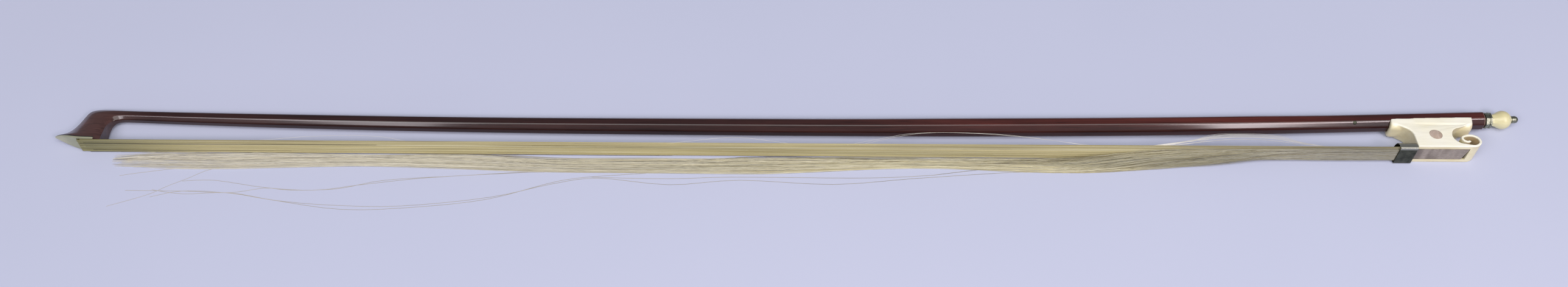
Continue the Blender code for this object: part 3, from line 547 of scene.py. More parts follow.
def hair_finish(name, pale, deep, bleached=None):
    hair = Finish(name, roughness=0.42, Specular_IOR_Level=0.45)
    strand = hair.noise(2600.0, (0.004, 1, 1), 2.0)
    cloud = hair.noise(60.0, (0.2, 1, 1), 3.0)
    base = hair.ramp(strand, ((0.32, deep), (0.62, pale)))
    tint = hair.ramp(cloud, ((0.3, 0.84), (0.7, 1.0)))
    base = hair.mix(0.7, base, tint, "MULTIPLY")
    locks = hair.noise(620.0, (0.012, 1, 1), 1.0)
    base = hair.mix(0.8, base, hair.ramp(locks, ((0.36, 0.72), (0.6, 1.0))), "MULTIPLY")
    near_frog = hair.ramp(hair.along("X", 0.17, 0.29), ((0.0, 1.0), (0.9, (0.52, 0.53, 0.60))))
    base = hair.mix(1.0, base, near_frog, "MULTIPLY")
    if bleached:
        share = hair.ramp(hair.along("X", 0.05, -0.34), ((0.0, 0.0), (1.0, 0.85)))
        hair.colour(hair.mix(share, base, bleached))
    else:
        near_head = hair.ramp(hair.along("X", -0.358, -0.29), ((0.1, (0.46, 0.49, 0.44)), (1.0, 1.0)))
        hair.colour(hair.mix(1.0, base, near_head, "MULTIPLY"))
    return hair.material


ribbon_hair = hair_finish("ribbon_hair", (0.56, 0.50, 0.27), (0.30, 0.25, 0.11))


def hair_bed():
    """The body of the hank: down from the head, round the mortise's edge and on to the ferrule."""
    rows = (
        (bend_x + 0.4 * mm, 5.2 * mm, 3.3 * mm, 1, 0), (bend_x + 0.4 * mm, 2.2 * mm, 3.5 * mm, 1, 0),
        (bend_x + 0.5 * mm, 1.3 * mm, 3.9 * mm, 0.7, 0.7), (bend_x + 1.0 * mm, 0.95 * mm, 4.1 * mm, 0.7, 0.7),
        (mortise_start + 3.6 * mm, 0.8 * mm, ribbon_head_width / 2, 0, 1), (0, 0.8 * mm, 4.9 * mm, 0, 1),
        (ribbon_end_x, 0.8 * mm, ribbon_frog_width / 2, 0, 1))
    thick = 0.3 * mm
    rings = []
    for x, y, half, out, up in rows:
        low_x, high_x = x - thick * out, x + thick * out
        low_y, high_y = y - thick * up, y + thick * up
        rings.append([
            (low_x, low_y, -half), (low_x, low_y, half), (high_x, high_y, half), (high_x, high_y, -half)])
    bm, _ = lofted(rings)
    return object_from("hair_bed", bm, lie)


def strand_curves(name, paths, radius, materials):
    """Hairs as thin curves, made a mesh together. Each path is (points, tone)."""
    curve = bpy.data.curves.new(name, "CURVE")
    curve.dimensions = "3D"
    curve.bevel_depth = radius
    curve.bevel_resolution = 0
    curve.use_fill_caps = True
    for material in materials:
        curve.materials.append(material)
    for points, tone in paths:
        spline = curve.splines.new("POLY")
        spline.points.add(len(points) - 1)
        spline.material_index = tone
        for place, point in zip(spline.points, points):
            place.co = (*point, 1)
    holder = link(bpy.data.objects.new(name, curve))
    graph = bpy.context.evaluated_depsgraph_get()
    mesh = bpy.data.meshes.new_from_object(holder.evaluated_get(graph))
    bpy.data.objects.remove(holder)
    piece = link(bpy.data.objects.new(name, mesh))
    mesh.shade_smooth()
    return piece


gold_tone, pale_tone, tan_tone, grey_tone, dark_tone, white_tone = range(6)
hair_tones = [
    hair_finish("hair_gold", (0.66, 0.60, 0.33), (0.52, 0.45, 0.21)),
    hair_finish("hair_pale", (0.80, 0.77, 0.54), (0.66, 0.61, 0.36)),
    hair_finish("hair_tan", (0.46, 0.39, 0.19), (0.33, 0.27, 0.12)),
    hair_finish("hair_grey", (0.50, 0.48, 0.37), (0.34, 0.32, 0.23)),
    hair_finish("hair_dark", (0.13, 0.115, 0.065), (0.07, 0.06, 0.04)),
    hair_finish("hair_white", (0.90, 0.88, 0.80), (0.82, 0.80, 0.70)),
]

bed = hair_bed()
finished(bed, ribbon_hair, "stick", "hair_ribbon", 30)


def chance(*seeds):
    """A steady number from 0 to 1 for a strand."""
    value = sin(sum(seed * weight for seed, weight in zip(seeds, (12.9898, 78.233, 37.719)))) * 43758.5453
    return value - int(value // 1)


def tone_for(pick, *shares):
    """The first tone whose share of the hairs reaches the pick, or else grey."""
    return next((tone for share, tone in shares if pick < share), grey_tone)


def ribbon_paths():
    paths = []
    count = 170
    start = throat_x - 11.2 * mm
    for i in range(count):
        share = (i + 0.5) / count - 0.5 + 0.3 * (chance(i, 1) - 0.5) / count
        points = []
        steps = 14
        for step in range(steps + 1):
            along = step / steps
            x = start + (ribbon_end_x - start) * along
            half = ribbon_head_width + (ribbon_frog_width - ribbon_head_width) * along
            z = share * (half - 0.2 * mm) + 0.12 * mm * sin(9 * along + 6.3 * chance(i, 2))
            y = hair_face + 0.1 * mm + 0.08 * mm * chance(i, 3)
            points.append(lie @ Vector((x, y, max(min(z, half / 2), -half / 2))))
        pick = chance(i, 4)
        paths.append((points, tone_for(pick, (0.5, gold_tone), (0.72, pale_tone), (0.92, tan_tone))))
    return paths


def curved(places, steps=6):
    """A smooth line through places."""
    places = [Vector(place) for place in places]
    ends = [places[0]] + places + [places[-1]]
    points = []
    for before, start, end, after in zip(ends, ends[1:], ends[2:], ends[3:]):
        for step in range(steps):
            t = step / steps
            points.append(0.5 * (
                2 * start + (end - before) * t + (2 * before - 5 * start + 4 * end - after) * t ** 2
                + (3 * start - before - 3 * end + after) * t ** 3))
    return points + [places[-1]]


def laid(points):
    """Points given in millimetres, in the bow's place."""
    return [lie @ (point * mm) for point in points]


def lifted_paths():
    """Hairs that have sprung out of the ribbon and lean towards the stick, and dark hairs laid along the
    ribbon as painted shadow.
    """
    lifts = [
        ((28, 0.4, 4.7), (45, 5.2, 3.9), (60, 9.4, 2.7), (78, 10.8, 2.0), (100, 9.8, 2.6),
         (119, 7.0, 3.6), (142, 2.4, 4.6), (156, 0.5, 4.8)),
        ((34, 0.4, 4.7), (52, 6.4, 3.5), (66, 9.8, 2.5), (82, 10.6, 2.2), (104, 8.6, 3.2),
         (128, 5.0, 4.2), (150, 0.6, 4.8)),
        ((-62, 0.5, 4.8), (-50, 2.2, 4.9), (-29, 4.6, 5.0), (-10, 2.4, 4.9), (2, 0.5, 4.8)),
        ((-272, 0.5, 4.6), (-258, 2.0, 4.6), (-240, 3.7, 4.8), (-221, 4.4, 4.8), (-206, 3.6, 4.8),
         (-192, 0.9, 4.6)),
    ]
    for i in range(15):
        reach = chance(i, 21)
        start = 176 + 12 * chance(i, 22)
        lifts.append((
            (start, 0.5, 4.8), (start + 18, 2.6 + 1.5 * reach, 4.8), (222 - 8 * reach, 5.4 + 4 * reach, 4.4),
            (238 + 6 * reach, 5.2 + 4 * reach, 4.3), (256, 2.4 + 1.6 * reach, 4.8), (272, 0.5, 4.8)))
    paths = [(laid(curved(places)), white_tone) for places in lifts]
    # Dark hairs laid on the ribbon's face near the head stand for a painted shadow line.
    for i in range(3):
        for x, z, end in ((-357, 2.25, -226), (-352, -3.1, -270)):
            places = [
                (x, 0.34, z - 0.1 * i), ((x + end) / 2, 0.34, z - 0.1 * i - 0.1), (end + 9 * i, 0.34, z)]
            paths.append((laid(curved(places)), dark_tone))
    # Dark hairs under the ribbon's lower edge stand for the painted shadow beneath it.
    for i in range(34):
        start = -354 + 15 * (i // 2) + (0 if i < 4 else 12 * chance(i, 33))
        end = start + 34 + 26 * chance(i, 31)
        places = []
        for step in range(7):
            x = start + (end - start) * step / 6
            z = -4.66 - 0.1 * (i % 2) - 0.14 * chance(i, step, 32) - (x + 352) / 950
            places.append(Vector((x, 0.5, z)))
        paths.append((laid(places), dark_tone))
    return paths


ribbon = strand_curves("ribbon_hairs", ribbon_paths() + lifted_paths(), 0.06 * mm, hair_tones)
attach(ribbon, "stick")

# Loose hair
# The broken hairs leave the ferrule crossed over the ribbon, sink to the table within a third of the
# bow, and lie there in a soft band beside the ribbon. The band and its strays are drawn as x and y
# on the table, in millimetres.
loose_tones = [
    hair_finish("loose_gold", (0.62, 0.57, 0.35), (0.50, 0.44, 0.24), (0.64, 0.61, 0.50)),
    hair_finish("loose_pale", (0.74, 0.71, 0.53), (0.62, 0.58, 0.38), (0.72, 0.70, 0.62)),
    hair_finish("loose_tan", (0.44, 0.38, 0.22), (0.32, 0.27, 0.14), (0.50, 0.46, 0.38)),
    hair_finish("loose_grey", (0.46, 0.45, 0.39), (0.36, 0.35, 0.30), (0.55, 0.54, 0.52)),
    hair_finish("loose_dark", (0.13, 0.11, 0.065), (0.07, 0.06, 0.035), (0.24, 0.22, 0.18)),
]
band_back = (
    (-345, 2.0), (-318, 3.7), (-165, 3.5), (-115, 1.6), (-55, 1.9), (-15, 3.4), (60, 3.7), (320, 3.7))
band_front = (
    (-345, -4.2), (-300, -5.0), (-215, -3.0), (-105, -5.5), (-25, -5.6), (68, -1.6), (140, -4.0),
    (212, -0.8), (244, 2.6), (320, 3.4))
stray_hairs = (
    ((-338, -27.4), (-325, -22.8), (-317, -19.4), (-311, -15.7), (-302, -11.2), (-290, -5.2), (-270, -3.5)),
    ((-336, -9.7), (-328, -8.2), (-306, -4.9), (-285, -3.5)),
    ((-331, -18.2), (-302, -18.4), (-279, -19.1), (-262, -16.3), (-249, -17.4), (-226, -16.4),
     (-203, -11.2), (-165, -8.2), (-122, -5.0), (-90, -4.2)),
    ((-304, -12.6), (-288, -12.0), (-262, -16.0), (-237, -17.3), (-215, -14.0), (-183, -9.7),
     (-140, -6.5), (-100, -4.4)),
    ((-318, -17.7), (-302, -20.0), (-279, -19.2), (-255, -23.4), (-228, -25.8), (-193, -26.0),
     (-150, -20.7), (-120, -12.8), (-97, -9.1), (-61, -12.6), (-26, -9.7), (21, -11.7), (61, -8.0),
     (104, -4.4), (130, -3.0)),
    ((-318, -21.9), (-302, -18.3), (-278, -19.5), (-259, -22.8), (-222, -28.2), (-186, -26.6),
     (-150, -21.6), (-115, -10.6), (-85, -7.0), (-50, -4.6)),
    ((-100, -8.6), (-61, -9.1), (-30, -7.9), (31, -7.9), (61, -6.7), (100, -3.2)),
)


def edge_at(places, x):
    """Where an edge of the band lies at a place along the bow."""
    for (start, low), (end, high) in zip(places, places[1:]):
        if x <= end * mm:
            return mm * (low + (high - low) * ease((x / mm - start) / (end - start)))
    return mm * places[-1][1]


def loose_paths():
    paths = []
    count = 420
    start_x = frog_x + 0.9 * mm
    strays = [
        curved([(x, y + beside, 0) for x, y in places], 4) for places in stray_hairs for beside in (0, 0.1)]
    for i in range(count + len(strays)):
        stray = strays[i - count] if i >= count else None
        share = 0.85 if stray else (i + chance(i, 11)) / count
        lock = i // 7
        length = (400 + 246 * (1 - (0.6 * chance(lock, 12) + 0.4 * chance(i, 12)) ** 2.8)) * mm
        held_share = 0.85 * chance(lock, 17) + 0.15 * chance(i, 17)
        lift = 0.35 * mm * chance(i, 13)
        delay = (30 + 85 * chance(lock, 18)) * mm * (1.1 - 0.6 * share)
        sink = (90 + 40 * chance(i, 18)) * mm
        cross = (0.3 + 1.3 * chance(lock, 35)) * mm
        swing = 0.03 + 0.14 * chance(lock, 19)
        turn = (24 + 34 * chance(lock, 20)) * mm
        steps = 44
        if stray:
            length = start_x - stray[-1].x * mm
            steps = int(length / (12 * mm))
        points = []
        for step in range(steps + 1):
            run = length * step / steps
            sway = cross * sin(run / (0.7 * turn) + 6.3 * chance(lock, 36)) * min(run / (30 * mm), 1)
            held_z = min(max((0.5 - held_share) * 8.8 * mm + sway, -4.9 * mm), 5.0 * mm)
            held = lie @ Vector((start_x - run, hair_face - 0.14 * mm - lift, held_z))
            bend = run / turn + 6.3 * chance(lock, 14) + 0.5 * chance(i, 14)
            wave = swing * sin(bend) * min(run / (60 * mm), 1)
            place = min(share + wave + 0.16 * (chance(i, 34) - 0.5), 1.06)
            back = edge_at(band_back, held.x)
            front = edge_at(band_front, held.x)
            landed = Vector((held.x, back + (front - back) * place, 0.1 * mm + 0.55 * mm * chance(i, 15)))
            points.append(held.lerp(landed, ease((run - delay) / sink)))
        if stray:
            points += [Vector((point.x * mm, point.y * mm, 0.1 * mm)) for point in reversed(stray[:-3])]
        # About one loose hair in twelve is drawn dark, as painted shade for the dark gaps between the hairs.
        pick = chance(lock, 37) if chance(i, 38) < 0.55 else chance(i, 16)
        if stray:
            tone = (tan_tone, grey_tone)[i % 2]
        elif pick < 0.92:
            tone = tone_for(pick, (0.54, pale_tone), (0.77, gold_tone), (0.85, tan_tone))
        else:
            tone = dark_tone
        paths.append((points, tone))
    return paths


loose = strand_curves("loose_hairs", loose_paths(), 0.052 * mm, loose_tones)
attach(loose, "frog")
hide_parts("loose_hair")


# Frog
# A block of ivory with a half-round rail that the stick lies in, a round throat behind the
# ferrule, and an open scroll curled out of its heel. All its edges are worn soft.
frog_length = 42.7 * mm
frog_bottom = 0.6 * mm
frog_front_top = 19.6 * mm
frog_rear_top = 20.7 * mm
frog_half_width = 6.6 * mm
frog_side_slope = 0.0875
rail_bottom = 13.8 * mm
rail_round = 3.0 * mm
rail_lip = 1.5 * mm
front_rake = 1.3 * mm
throat_depth = 10.0 * mm
slide_end = 36.4 * mm
slide_depth = 2.2 * mm
slide_half = 4.0 * mm
eye_x = 20.9 * mm
eye_y = 8.7 * mm
eye_radius = 3.1 * mm
soft_gap = 0.08 * mm
frog_back = frog_place.inverted()


def frog_half(y):
    """Half the frog's width at a height over the playing face."""
    return frog_half_width - frog_side_slope * (y - frog_bottom)


def frog_outline():
    """The frog's block from the side: throat, underside, heel, open scroll and cove."""
    centre_x = frog_length - 4.85 * mm
    centre_y = frog_bottom + 4.15 * mm
    wide = 4.85 * mm
    tall = 4.15 * mm
    curl = 2.7 * mm
    curl_x = centre_x - wide + curl
    curl_y = frog_bottom + 8.3 * mm - curl
    band = 1.15 * mm
    outline = [(throat_depth, frog_bottom)]
    outline += arc(centre_x, centre_y, wide, tall, -90, 90, 28)
    outline += arc(centre_x, curl_y, wide, curl, 90, 180, 14)[1:]
    outline += arc(curl_x, curl_y, curl, curl, 180, 310, 14)[1:]
    outline += arc(curl_x, curl_y, curl - band, curl - band, 310, 180, 12)
    outline += arc(centre_x, curl_y, wide - band, curl - band, 180, 90, 12)[1:]
    outline += arc(centre_x, centre_y, wide - band, tall - band, 90, -90, 24)[1:]
    outline += arc(34.3 * mm, 7.7 * mm, 5.2 * mm, 5.2 * mm, 270, 180, 14)
    outline += arc(35.2 * mm, 7.7 * mm, 6.1 * mm, 6.1 * mm, 180, 112, 12)[1:]
    side_round = rail_bottom + 0.9 * rail_round
    outline += [(frog_length - 5.5 * mm, rail_bottom + 0.3 * rail_round)]
    outline += [(frog_length - 2.5 * mm, side_round), (frog_length - 2.5 * mm, frog_front_top)]
    outline += [(rail_lip + front_rake, frog_front_top - mm), (rail_lip + 0.3 * front_rake, side_round)]
    outline += arc(throat_depth - 5.8 * mm, 8.2 * mm, 5.8 * mm, 5.8 * mm, 62, 0, 14)
    return outline


def frog_rail():
    """The half-round bar that the stick lies in, with softened ends."""
    rings = []
    stations = (
        (0.0, 1.0, 0.45), (0.35, 0.45, 0.2), (1.0, 0.0, 0.0),
        (-1.0, 0.0, 0.0), (-0.35, 0.45, 0.2), (0.0, 1.0, 0.45))
    for place, lift, draw in stations:
        rear = len(rings) >= len(stations) / 2
        base = frog_length + place * rail_lip if rear else place * rail_lip
        top = frog_front_top + (frog_rear_top - frog_front_top) * base / frog_length
        bottom = rail_bottom + lift * mm
        corner_y = bottom + rail_round
        half = frog_half(corner_y) - draw * mm
        side = [(top, frog_half(top) - 0.3 * draw * mm)]
        for z, y in arc(half - rail_round, corner_y, rail_round, rail_round, 0, -90, 10):
            side.append((y, z))
        ring = []
        for y, z in side + [(y, -z) for y, z in reversed(side)]:
            share = (y - rail_bottom) / (top - rail_bottom)
            rake = -0.7 * front_rake * (1 - share) if rear else front_rake * share
            ring.append((base + rake, y, z))
        rings.append(ring)
    bm, _ = lofted(rings)
    return object_from("frog_rail", bm, frog_place)


def ferrule_outline(inset, lowest=None):
    """The D of the ferrule, drawn inwards by a wall or a gap."""
    low = -0.64 * mm
    bottom = low + inset if lowest is None else lowest
    half = 6.4 * mm - inset
    shoulder = low + 1.2 * mm
    rise = 4.8 * mm - inset
    if bottom >= shoulder:
        start = degrees(asin((bottom - shoulder) / rise))
        return arc(0, shoulder, half, rise, start, 180 - start, 40)
    corner = 0.55 * mm
    outline = arc(-half + corner, bottom + corner, corner, corner, 180, 270, 5)
    outline += arc(half - corner, bottom + corner, corner, corner, 270, 360, 5)
    return outline + arc(0, shoulder, half, rise, 0, 180, 40)


def across(name, outline, start, end):
    """An outline in z and y, extruded along the frog."""
    turn = Matrix.Translation(((start + end) / 2, 0, 0)) @ Matrix.Rotation(pi / 2, 4, "Y")
    return slab(name, outline, (end - start) / 2, frog_place @ turn)


def dovetail(name, start, end, low, high, half):
    """A strip that is wider at its inner face than at the frog's underside."""
    strip = block(name, (start, low, -half), (end, high, half), Matrix.Identity(4))
    for vertex in strip.data.vertices:
        depth = (vertex.co.y - frog_bottom) / slide_depth
        vertex.co.z *= (half + 0.6 * mm * depth) / half
    strip.data.transform(frog_place)
    return strip


def taper(piece):
    """Draw the block's cheeks in towards the stick, and further in above the rail's edge."""
    for vertex in piece.data.vertices:
        point = frog_back @ vertex.co
        half = frog_half(point.y)
        if point.y > rail_bottom + rail_round:
            half -= mm
        point.z = half if point.z > 0 else -half
        vertex.co = frog_place @ point
    return piece


def eye_disc(radius, depth):
    bm = bmesh.new()
    bmesh.ops.create_cone(bm, cap_ends=True, segments=64, radius1=radius, radius2=radius, depth=depth)
    return bm


def eye_seat(side):
    """The place of an eye, with z out of its cheek."""
    slope = atan(frog_side_slope)
    seat = Matrix.Translation((eye_x, eye_y, side * frog_half(eye_y)))
    tilt = Matrix.Rotation(-slope if side > 0 else pi + slope, 4, "X")
    return frog_place @ seat @ tilt


def eye_recess(side):
    bm = eye_disc(eye_radius + soft_gap, 2.0 * mm)
    bmesh.ops.translate(bm, vec=(0, 0, 0.1 * mm), verts=bm.verts)
    return object_from("eye_recess", bm, eye_seat(side))


def softened(bm, verts, passes):
    for _ in range(passes):
        bmesh.ops.smooth_vert(
            bm, verts=verts, factor=0.5, use_axis_x=True, use_axis_y=True, use_axis_z=True)


def frog_block():
    """The block with its rail and tongue, wrapped in one softened skin, with the seats cut into it."""
    body = taper(slab("frog_block", frog_outline(), mm, frog_place))
    cut(body, frog_rail(), "UNION")
    tongue = across(
        "tongue", ferrule_outline(0.5 * mm, 2.75 * mm), throat_depth - 6.8 * mm, throat_depth + mm)
    cut(body, tongue, "UNION")
    wrap = body.modifiers.new("wrap", "REMESH")
    wrap.mode = "VOXEL"
    wrap.voxel_size = 0.2 * mm
    settle(body)
    bm = bmesh.new()
    bm.from_mesh(body.data)
    softened(bm, bm.verts, 5)
    throat = []
    for vertex in bm.verts:
        spot = frog_back @ vertex.co
        if spot.x < 13 * mm and spot.y > 8.5 * mm:
            throat.append(vertex)
    softened(bm, throat, 30)
    bm.to_mesh(body.data)
    bm.free()
    start = (frog_x - 8 * mm - handle_x) / cos(handle_angle)
    end = (frog_x + frog_length + 8 * mm - handle_x) / cos(handle_angle)
    cut(body, rod(
        "stick_channel", (handle_flats / 2 + soft_gap) / cos(pi / 8), start, end, handle_place, 8))
    cut(body, dovetail(
        "slide_groove", throat_depth - 0.5 * mm, slide_end + 0.25 * mm, frog_bottom - mm,
        frog_bottom + slide_depth, slide_half + 0.3 * mm))
    for side in (1, -1):
        cut(body, eye_recess(side))
    return body


cheek_way = frog_place.to_3x3() @ Vector((0, frog_side_slope, 1))
cheek_out = cheek_way.dot(frog_place.translation) + frog_half_width
# The upper cheek is painted paler as lit from above; painted shade browns the scroll's hollow and tans the
# heel.
frog_ivory = ivory_finish(
    "frog_ivory", (0.78, 0.71, 0.45), (0.66, 0.56, 0.32), 0.32,
    ((0.94, 0.925, 0.79), (0.90, 0.87, 0.67), cheek_way, cheek_out - mm, cheek_out - 0.15 * mm),
    (frog_place @ Vector((frog_length - 4.6 * mm, 4.9 * mm, 0)) * Vector((1, 1, 0)), 4.1 * mm,
     (0.50, 0.37, 0.19), frog_x + 40.2 * mm, frog_x + frog_length, (0.60, 0.45, 0.24)))
frog = finished(frog_block(), frog_ivory, "frog", "frog_body", 40)


# Eyes and slide
# A disc of pearl is let into each cheek. A dovetailed strip of pearl on ebony slides into the
# underside and covers the hair's knot. Its far end is cut on a slant.
def pearl_finish(name, pale, deep, light):
    shell = Finish(name, roughness=0.22, Coat_Weight=0.6, Coat_Roughness=0.08)
    wave = shell.noise(75.0, (1.5, 0.5, 0.5), 2.0, 0.5, 0.3)
    fine = shell.noise(900.0, (0.5, 1, 1), 3.0, 0.6, 0.8)
    base = shell.ramp(wave, ((0.34, deep), (0.5, pale), (0.62, light), (0.72, pale)))
    shell.colour(shell.mix(0.4, base, shell.ramp(fine, ((0.35, 0.7), (0.65, 1.0))), "MULTIPLY"))
    shell.rough(fine, 0.16, 0.36)
    return shell.material


eye_pearl = pearl_finish("eye_pearl", (0.47, 0.36, 0.28), (0.38, 0.28, 0.21), (0.56, 0.45, 0.37))
slide_pearl = pearl_finish("slide_pearl", (0.185, 0.145, 0.105), (0.11, 0.085, 0.06), (0.30, 0.25, 0.20))


def pearl_eye(name, side, node):
    thickness = 0.9 * mm
    bm = eye_disc(eye_radius, thickness)
    rim = [edge for edge in bm.edges if all(vertex.co.z > 0 for vertex in edge.verts)]
    bmesh.ops.bevel(bm, geom=rim, offset=0.12 * mm, segments=2, profile=0.5, affect="EDGES", material=-1)
    bmesh.ops.translate(bm, vec=(0, 0, -thickness / 2), verts=bm.verts)
    eye = object_from(name, bm, eye_seat(side))
    finished(eye, eye_pearl, "frog", node, 40)


pearl_eye("upper_eye", 1, "pearl_eye_upper")
pearl_eye("lower_eye", -1, "pearl_eye_lower")
slide_start = throat_depth + 0.2 * mm
slide_slant = 1.7 * mm
slide = dovetail("pearl_slide", slide_start, slide_end, frog_bottom, frog_bottom + 0.9 * mm, slide_half)
for vertex in slide.data.vertices:
    spot = frog_back @ vertex.co
    if spot.x > slide_end - mm and spot.z < 0:
        vertex.co = frog_place @ (spot - Vector((slide_slant, 0, 0)))
finished(slide, slide_pearl, "frog", "slide_pearl", 30)
backing = dovetail(
    "slide_back", slide_start, slide_end, frog_bottom + 0.95 * mm, frog_bottom + 1.95 * mm, slide_half)
finished(backing, ebony.material, "frog", "slide_backing", 30)


# Ferrule
# A tube of thin silver, flat under the hair and arched over the frog's tongue. It has tarnished almost black
# on the flat, and a painted highlight runs bright along its upper edge.
def metal_finish(name, bright, dull, roughness, scale=300.0, lit_colour=None):
    """Metal marked by wear, and, where a bright colour is given, with a painted highlight along the ferrule's
    upper edge.
    """
    metal = Finish(name, roughness=roughness, metallic=1.0)
    stain = metal.noise(scale, (1, 1, 1), 5.0, 0.6)
    scratch = metal.noise(2200.0, (0.1, 1, 1), 3.0)
    base = metal.ramp(stain, ((0.35, dull), (0.65, bright)))
    # Painted highlight: a bright band along the ferrule's upper edge.
    if lit_colour:
        base = metal.mix(metal.along("Z", 11.0 * mm, 12.0 * mm), base, lit_colour)
    metal.colour(metal.mix(0.3, base, metal.ramp(scratch, ((0.3, 0.7), (0.6, 1.0))), "MULTIPLY"))
    metal.rough(stain, roughness + 0.12, roughness - 0.06)
    metal.bump(scratch, 0.01 * mm, 0.3)
    return metal.material


# Its last colour is the painted highlight along the ferrule's upper edge.
dark_silver = metal_finish(
    "dark_silver", (0.105, 0.11, 0.08), (0.045, 0.05, 0.036), 0.4, 300.0, (0.42, 0.42, 0.36))
silver = metal_finish("silver", (0.40, 0.41, 0.32), (0.17, 0.18, 0.14), 0.3, 500.0)


ferrule_length = 8.7 * mm
ferrule_wall = 0.3 * mm


def ferrule_tube():
    start = throat_depth - 0.3 * mm - ferrule_length
    end = start + ferrule_length
    tube = across("ferrule_tube", ferrule_outline(0), start, end)
    hollow = across("ferrule_hollow", ferrule_outline(ferrule_wall), start - mm, end + mm)
    return cut(tube, hollow)


ferrule = finished(ferrule_tube(), dark_silver, "frog", "ferrule", 35)


# Button
# The screw's head is an octagonal silver collar, an ivory bulb that grows from eight small lobes
# into a ball, and a small silver knob. It is all on the steel screw.
collar_start = (stick_end_x - handle_x) / cos(handle_angle) + 0.55 * mm
collar_length = 3.2 * mm
bulb_length = 10.4 * mm


def collar():
    end = collar_start + collar_length
    stations = (
        (collar_start, 7.5), (collar_start + 0.25 * mm, 7.9), (collar_start + 0.9 * mm, 7.9),
        (collar_start + 1.15 * mm, 7.1), (end - 1.15 * mm, 7.1), (end - 0.9 * mm, 7.9),
        (end - 0.25 * mm, 7.9), (end, 7.5))
    bm, _ = lofted([octagon(x, 0, flats * mm) for x, flats in stations])
    return object_from("collar", bm, handle_place)


def bulb_radius(place):
    """The bulb swells from a neck to a ball, and closes as half an ellipse."""
    widest = 6.25 * mm
    if place < widest:
        return 2.8 * mm + 1.95 * mm * ease((place - 0.5 * mm) / (5.75 * mm))
    return 4.75 * mm * (1 - ((place - widest) / (4.68 * mm)) ** 2) ** 0.5


def bulb():
    start = collar_start + collar_length + 0.1 * mm
    rings = []
    sections = 30
    around = 64
    for section in range(sections + 1):
        share = section / sections
        radius = bulb_radius(share * bulb_length)
        facets = max(1 - share / 0.4, 0.0)
        ring = []
        for step in range(around):
            angle = 2 * pi * step / around
            off_flat = (angle + pi / 8) % (pi / 4) - pi / 8
            out = radius * (1 - facets + facets / cos(off_flat))
            ring.append((start + share * bulb_length, out * sin(angle), out * cos(angle)))
        rings.append(ring)
    bm, _ = lofted(rings)
    return object_from("bulb", bm, handle_place)


def finial():
    start = collar_start + collar_length + bulb_length + 0.3 * mm
    radius = 1.875 * mm
    dome_x = start + 4.1 * mm - radius
    foot = radius * 0.86
    profile = [(start - mm, 0.001 * mm), (start - mm, 0.8 * mm), (start, 0.8 * mm), (start, foot)]
    profile += [(start + 0.35 * mm, foot), (start + 0.55 * mm, radius)]
    profile += arc(dome_x, 0, radius, radius, 90, 2, 14)
    bm = bmesh.new()
    verts = [bm.verts.new((x, y, 0)) for x, y in profile]
    edges = [bm.edges.new(pair) for pair in zip(verts, verts[1:])]
    bmesh.ops.spin(
        bm, geom=verts + edges, cent=(0, 0, 0), axis=(1, 0, 0), dvec=(0, 0, 0), angle=2 * pi, steps=48,
        use_merge=True)
    bmesh.ops.remove_doubles(bm, verts=bm.verts, dist=0.02 * mm)
    bmesh.ops.holes_fill(bm, edges=[edge for edge in bm.edges if edge.is_boundary], sides=0)
    bmesh.ops.recalc_face_normals(bm, faces=bm.faces)
    return object_from("finial", bm, handle_place)


bulb_ivory = ivory_finish("bulb_ivory", (0.73, 0.69, 0.42), (0.64, 0.57, 0.30))
collar_piece = finished(collar(), silver, "screw", "button_collar", 25)
bulb_piece = finished(bulb(), bulb_ivory, "screw", "button_bulb", 25)
finial_piece = finished(finial(), silver, "screw", "button_finial", 40)


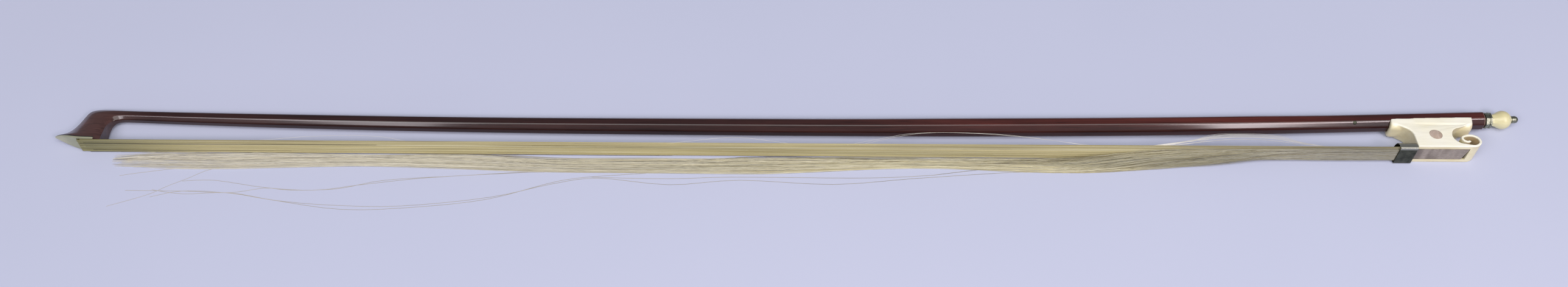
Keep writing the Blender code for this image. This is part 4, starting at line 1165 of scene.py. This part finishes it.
# Pieces that keep their solids
# The pin, the knots and plugs of the hair, the wedge, the eyelet and the screw keep their own
# shapes, most of them out of sight, and take finishes of the same kinds.
steel = metal_finish("steel", (0.5, 0.5, 0.5), (0.3, 0.3, 0.3), 0.3)
brass = metal_finish("brass", (0.6, 0.45, 0.2), (0.3, 0.2, 0.08), 0.35)
maple = Finish("maple", roughness=0.6)
maple.colour(maple.ramp(maple.noise(300.0, (0.1, 1, 1)), (
    (0.3, (0.5, 0.36, 0.2)), (0.7, (0.66, 0.5, 0.3)))))
for node, material in (
    ("handle_pin", dark_silver), ("head_plug", maple.material), ("tip_hair_knot", ribbon_hair),
    ("ferrule_wedge", maple.material), ("frog_plug", maple.material),
    ("frog_hair_knot", ribbon_hair), ("eyelet", brass), ("screw", steel)):
    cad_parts[node].data.materials.clear()
    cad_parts[node].data.materials.append(material)


# Table and light
# A plain pale table with a cool tint, under a soft light from above. Two narrow lights in front
# draw the streaks along the stick, and a low wide one fills the shadows.
def table():
    bm = bmesh.new()
    bmesh.ops.create_grid(bm, x_segments=1, y_segments=1, size=3.0)
    bmesh.ops.translate(bm, vec=(0, 0, solid_box[0][2]), verts=bm.verts)
    floor = object_from("table", bm)
    cloth = Finish("table_top", roughness=0.75)
    cloth.colour(cloth.ramp(cloth.noise(2.0), (
        (0.3, (0.48, 0.515, 0.66)), (0.7, (0.51, 0.54, 0.685)))))
    floor.data.materials.append(cloth.material)


def area_light(name, place, aim, size, power, colour):
    lamp = bpy.data.lights.new(name, "AREA")
    lamp.shape = "RECTANGLE"
    lamp.size, lamp.size_y = size
    lamp.energy = power
    lamp.color = colour
    holder = link(bpy.data.objects.new(name, lamp))
    way = Vector(aim) - Vector(place)
    holder.matrix_world = Matrix.Translation(place) @ way.to_track_quat("-Z", "Y").to_matrix().to_4x4()


table()
area_light("overhead", (0.12, -0.5, 1.42), (0, 0, 0), (2.3, 0.9), 19.5, (1.0, 0.98, 0.96))
area_light("front_right", (1.02, -1.06, 1.3), (0.25, 0, 0), (0.6, 0.32), 11, (1.0, 0.90, 0.93))
area_light("front_left", (-1.0, -1.0, 1.3), (-0.25, 0, 0), (0.9, 0.34), 7.5, (1.0, 0.92, 0.97))
area_light("front_fill", (0, -1.8, 0.42), (0, 0, 0), (2.6, 0.5), 3, (1.0, 0.97, 0.92))
sky = bpy.data.worlds.new("room")
sky.use_nodes = True
sky.node_tree.nodes["Background"].inputs["Color"].default_value = (0.88, 0.89, 1.0, 1.0)
sky.node_tree.nodes["Background"].inputs["Strength"].default_value = 0.26
bpy.context.scene.world = sky
bpy.context.scene.view_settings.view_transform = "Standard"
